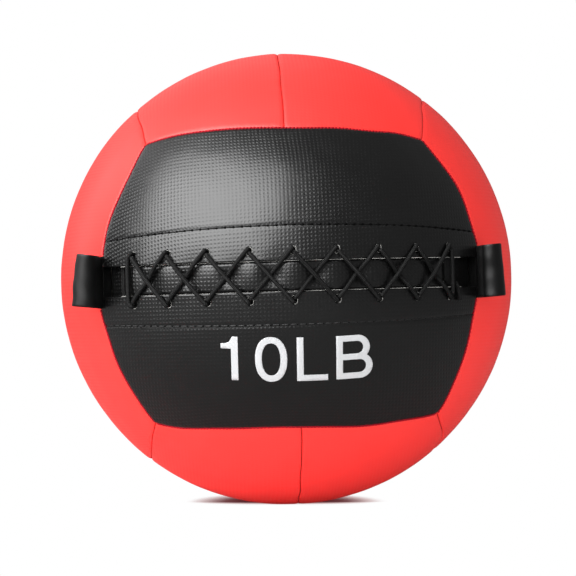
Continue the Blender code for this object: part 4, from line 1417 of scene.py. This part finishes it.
def letter_b(left, right):
    waist = middle_level + 0.0002
    lower = (waist + BAR / 2 - PRINT_BASE) / 2
    upper = (PRINT_TOP - waist + BAR / 2) / 2
    low_middle = np.array((right - lower, PRINT_BASE + lower))
    high_middle = np.array((right - UPPER_BOWL_INSET - upper, PRINT_TOP - upper))
    apart = np.linalg.norm(high_middle - low_middle)
    along = (apart**2 + lower**2 - upper**2) / (2 * apart)
    ahead = (high_middle - low_middle) / apart
    notch = low_middle + ahead * along + np.array((ahead[1], -ahead[0])) * math.sqrt(lower**2 - along**2)
    low_end = math.atan2(*(notch - low_middle)[::-1])
    high_start = math.atan2(*(notch - high_middle)[::-1])
    outside = [(left, PRINT_TOP), (left, PRINT_BASE)]
    outside += round_ring(low_middle, (lower, lower), -math.pi / 2, low_end, BOWL_STEPS)
    outside += round_ring(high_middle, (upper, upper), high_start, math.pi / 2, BOWL_STEPS)[1:]
    counters = []
    for base, top, reach in (
        (PRINT_BASE + BAR, waist - BAR / 2, right - STROKE),
        (waist + BAR / 2, PRINT_TOP - BAR, right - UPPER_BOWL_INSET - STROKE),
    ):
        depth = (top - base) / 2
        middle = (reach - depth, base + depth)
        arc = round_ring(middle, (depth, depth), -math.pi / 2, math.pi / 2, COUNTER_STEPS)
        counters.append([(left + STROKE, top), (left + STROKE, base)] + arc)
    return [outside] + counters


glyphs = {
    "one": digit_one(-0.0410),
    "zero": digit_zero(-0.0289, -0.0061),
    "l": letter_l(0.0008, 0.0230),
    "b": letter_b(0.0290, 0.0554),
}
for word, outlines in glyphs.items():
    curve = flat_curve(f"weight_{word}_outline", outlines)
    bpy.context.view_layer.update()
    graph = bpy.context.evaluated_depsgraph_get()
    shape = bmesh.new()
    shape.from_mesh(bpy.data.meshes.new_from_object(curve.evaluated_get(graph), depsgraph=graph))
    bpy.data.objects.remove(curve)
    bmesh.ops.remove_doubles(shape, verts=shape.verts, dist=0.00002)
    for axis in (0, 1):
        low, high = min(v.co[axis] for v in shape.verts), max(v.co[axis] for v in shape.verts)
        for place in np.arange(low + PRINT_STEP, high, PRINT_STEP):
            everything = shape.verts[:] + shape.edges[:] + shape.faces[:]
            where, facing = Vector((0, 0, 0)), Vector((0, 0, 0))
            where[axis], facing[axis] = place, 1
            bmesh.ops.bisect_plane(shape, geom=everything, plane_co=where, plane_no=facing)
    x, z = np.array([(v.co.x, v.co.y + PRINT_SAG * (v.co.x - SAG_MIDDLE) ** 2) for v in shape.verts]).T
    directions = on_front(x, z) / RADIUS
    lifted = RADIUS + PRINT_LIFT + filling_relief(directions, 2)
    for corner, spot in zip(shape.verts, CENTRE + directions * lifted[:, None]):
        corner.co = spot
    maps = shape.loops.layers.uv.new("cover_flat")
    shape.normal_update()
    for polygon in shape.faces:
        if polygon.normal.y > 0:
            polygon.normal_flip()
        polygon.smooth = True
        for loop in polygon.loops:
            spot = np.array(loop.vert.co) - CENTRE
            loop[maps].uv = cloth_place(math.atan2(spot[0], -spot[1]), spot[2] / np.linalg.norm(spot))
    mesh = bpy.data.meshes.new(f"weight_{word}_print")
    shape.to_mesh(mesh)
    shape.free()
    mesh.materials.append(PRINT)
    glyph = thicken(put_in_scene(mesh.name, mesh), PRINT_THICKNESS)
    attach(glyph, "ball")
    print(glyph.name, triangles(glyph))

# %% [markdown]
# The pieces inside stay as their solids, with their own finishes.

# %% Filling
for node, material in (
    ("inner_liner", LINING),
    ("stuffing_upper", FIBRE),
    ("stuffing_lower", FIBRE),
    ("ballast_bag", CANVAS),
    ("ballast_fill", GRIT),
):
    CAD_NODES[node].data.materials[0] = material

# %% [markdown]
# The studio: a white floor and background, a large soft light from the left, weaker ones from the front,
# the right and above, and some light from all round. In the black gloss the room shows dim, and the lamps
# show as their own soft images. The camera stands 1.6 m away with a long lens, a little lower than the
# middle of the ball. The ball rests a little rolled, so camera and floor tilt by that much together.

# %% Floor and background
# The contact shadow is painted into the colour that the camera sees on the floor, from how near the ball is.
# It stops before the ball's middle, where light from the front keeps the floor bright. Its darkest colours
# are reddish: painted bounce from the red cover.
SHADOW_REACH = 0.022
SHADOW_FREE_FRONT = 0.045  # where the painted shadow stops, before the ball's middle
SHADOW_STOPS = [
    (0.0, (0.07, 0.008, 0.01)),
    (0.14, (0.16, 0.05, 0.055)),
    (0.32, (0.62, 0.46, 0.46)),
    (0.55, 1.0),
]
ROOM_LIGHT, ROOM_IN_GLOSS, ROOM_SEEN = 0.45, 0.22, 1.0


def switch(tree, ray, first, second):
    """One shader for most rays and another for the rays of this kind."""
    path = tree.nodes.new("ShaderNodeLightPath")
    mix = tree.nodes.new("ShaderNodeMixShader")
    tree.links.new(path.outputs[ray], mix.inputs["Fac"])
    tree.links.new(first, mix.inputs[1])
    tree.links.new(second, mix.inputs[2])
    return mix.outputs[0]


def stage_floor():
    """White paper: grey in the ball's gloss, and to the camera white but for a painted contact shadow."""
    made = Finish("studio_floor", Roughness=0.9, Emission_Strength=0.2)
    made.shader.inputs["Base Color"].default_value = (0.85, 0.85, 0.85, 1)
    made.shader.inputs["Emission Color"].default_value = (1, 1, 1, 1)
    tree = made.tree
    shade = tree.nodes.new("ShaderNodeAmbientOcclusion")
    shade.samples = 16
    shade.inputs["Distance"].default_value = SHADOW_REACH
    depth = made.parts(made.place())[1]
    shadow_free_front = made.node("ShaderNodeMapRange", inputs=[depth, -SHADOW_FREE_FRONT, 0.0, 1.0, 0.0])
    open_share = (Value(made, shade.outputs["AO"]) + shadow_free_front).math("MINIMUM", 1.0)
    # painted contact shadow: the floor glows to the camera in these colours, darker where the ball shuts out
    # the room
    ramp = made.node("ShaderNodeValToRGB", {"stops": SHADOW_STOPS}, [open_share])
    glow = tree.nodes.new("ShaderNodeEmission")
    tree.links.new(ramp.socket, glow.inputs["Color"])
    dull = tree.nodes.new("ShaderNodeBsdfDiffuse")
    dull.inputs["Color"].default_value = (0.26, 0.26, 0.26, 1)
    lit = switch(tree, "Is Glossy Ray", made.shader.outputs[0], dull.outputs[0])
    seen = switch(tree, "Is Camera Ray", lit, glow.outputs[0])
    tree.links.new(seen, tree.nodes["Material Output"].inputs["Surface"])
    return made.material


FLOOR_TILT = math.radians(1.68)  # the ball rests rolled by this much; the floor is level in the picture
FLOOR_DROP = 0.0004
floor_points = np.array([[(-4, -4, 0), (-4, 4, 0)], [(4, -4, 0), (4, 4, 0)]], float)
floor_points[..., 2] = -floor_points[..., 0] * math.tan(FLOOR_TILT) - FLOOR_DROP
floor = from_grid("studio_floor", floor_points, None, None, stage_floor(), outward=(0, 0, 1))
floor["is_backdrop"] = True

world = bpy.data.worlds.new("studio")
bpy.context.scene.world = world
world.use_nodes = True
rooms = []
for strength in (ROOM_LIGHT, ROOM_IN_GLOSS, ROOM_SEEN):
    room = world.node_tree.nodes.new("ShaderNodeBackground")
    room.inputs["Color"].default_value = (1, 1, 1, 1)
    room.inputs["Strength"].default_value = strength
    rooms.append(room.outputs[0])
dim = switch(world.node_tree, "Is Glossy Ray", rooms[0], rooms[1])
seen = switch(world.node_tree, "Is Camera Ray", dim, rooms[2])
world.node_tree.links.new(seen, world.node_tree.nodes["World Output"].inputs["Surface"])


# %% Lights
def soft_light(name, azimuth, elevation, distance, size, power, part):
    """A square lamp that faces the ball; azimuth 0 is in front and negative to the left.

    Each lamp is either the light that a surface scatters or the lamp's own image in its gloss, so that the
    two can be set one by one."""
    lamp = bpy.data.lights.new(name, "AREA")
    lamp.shape = "RECTANGLE"
    lamp.size, lamp.size_y = size
    lamp.energy = power
    thing = put_in_scene(name, lamp)
    a, e = math.radians(azimuth), math.radians(elevation)
    back = Vector((math.sin(a) * math.cos(e), -math.cos(a) * math.cos(e), math.sin(e)))
    thing.location = Vector(CENTRE) + back * distance
    thing.rotation_mode = "QUATERNION"
    thing.rotation_quaternion = back.to_track_quat("Z", "Y")
    thing.visible_glossy = part == "gloss"
    thing.visible_diffuse = part == "scatter"


soft_light("key", -50, 31, 1.6, (1.5, 1.5), 44, "scatter")
soft_light("front_fill", 8, 18, 2.4, (1.8, 1.8), 14, "scatter")
soft_light("right_fill", 70, 10, 2.2, (1.4, 1.6), 6, "scatter")
soft_light("top", -10, 78, 1.8, (1.4, 1.4), 7, "scatter")
soft_light("key_shine", -42, 33, 1.6, (1.95, 1.4), 82, "gloss")
soft_light("left_shine", -121, 24, 1.6, (0.35, 1.1), 3.3, "gloss")
soft_light("rear_shine", -150, 50, 2.2, (2.4, 2.4), 8, "gloss")
print("lamps:", len(bpy.data.lights))

# %% Camera
IMAGE_SIZE = 576
FOCAL_PIXELS = 2015
SENSOR_WIDTH = 36
CAMERA_DISTANCE = 1.6002
LOOK_YAW, LOOK_PITCH, LOOK_ROLL = math.radians(1.75), math.radians(0.75), math.radians(1.68)
BALL_IN_IMAGE = (286.25, 279.2)

camera_data = bpy.data.cameras.new("camera")
camera_data.sensor_width = SENSOR_WIDTH
camera_data.lens = FOCAL_PIXELS * SENSOR_WIDTH / IMAGE_SIZE
camera = put_in_scene("camera", camera_data)
level_share = math.cos(LOOK_PITCH)
back = Vector((-math.sin(LOOK_YAW) * level_share, -math.cos(LOOK_YAW) * level_share, -math.sin(LOOK_PITCH)))
level = back.to_track_quat("Z", "Y").to_matrix()
aim_x = (BALL_IN_IMAGE[0] - IMAGE_SIZE / 2) / FOCAL_PIXELS
aim_y = (IMAGE_SIZE / 2 - BALL_IN_IMAGE[1]) / FOCAL_PIXELS
rolled_view = level @ Matrix.Rotation(-LOOK_ROLL, 3, "Z")
aim = Matrix.Rotation(math.atan(aim_x), 3, "Y") @ Matrix.Rotation(-math.atan(aim_y), 3, "X")
camera.rotation_mode = "QUATERNION"
camera.rotation_quaternion = (rolled_view @ aim).to_quaternion()
camera.location = Vector(CENTRE) + back * CAMERA_DISTANCE
bpy.context.scene.camera = camera
bpy.context.scene.view_settings.view_transform = "Standard"

# %% Size and finish
visual_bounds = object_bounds()
for axis, letter in enumerate("xyz"):
    low, high = ((visual_bounds[end][axis] - cad_bounds[end][axis]) * 1000 for end in (0, 1))
    print(f"{letter}: {low:+.2f} mm at its low side, {high:+.2f} mm at its high side")
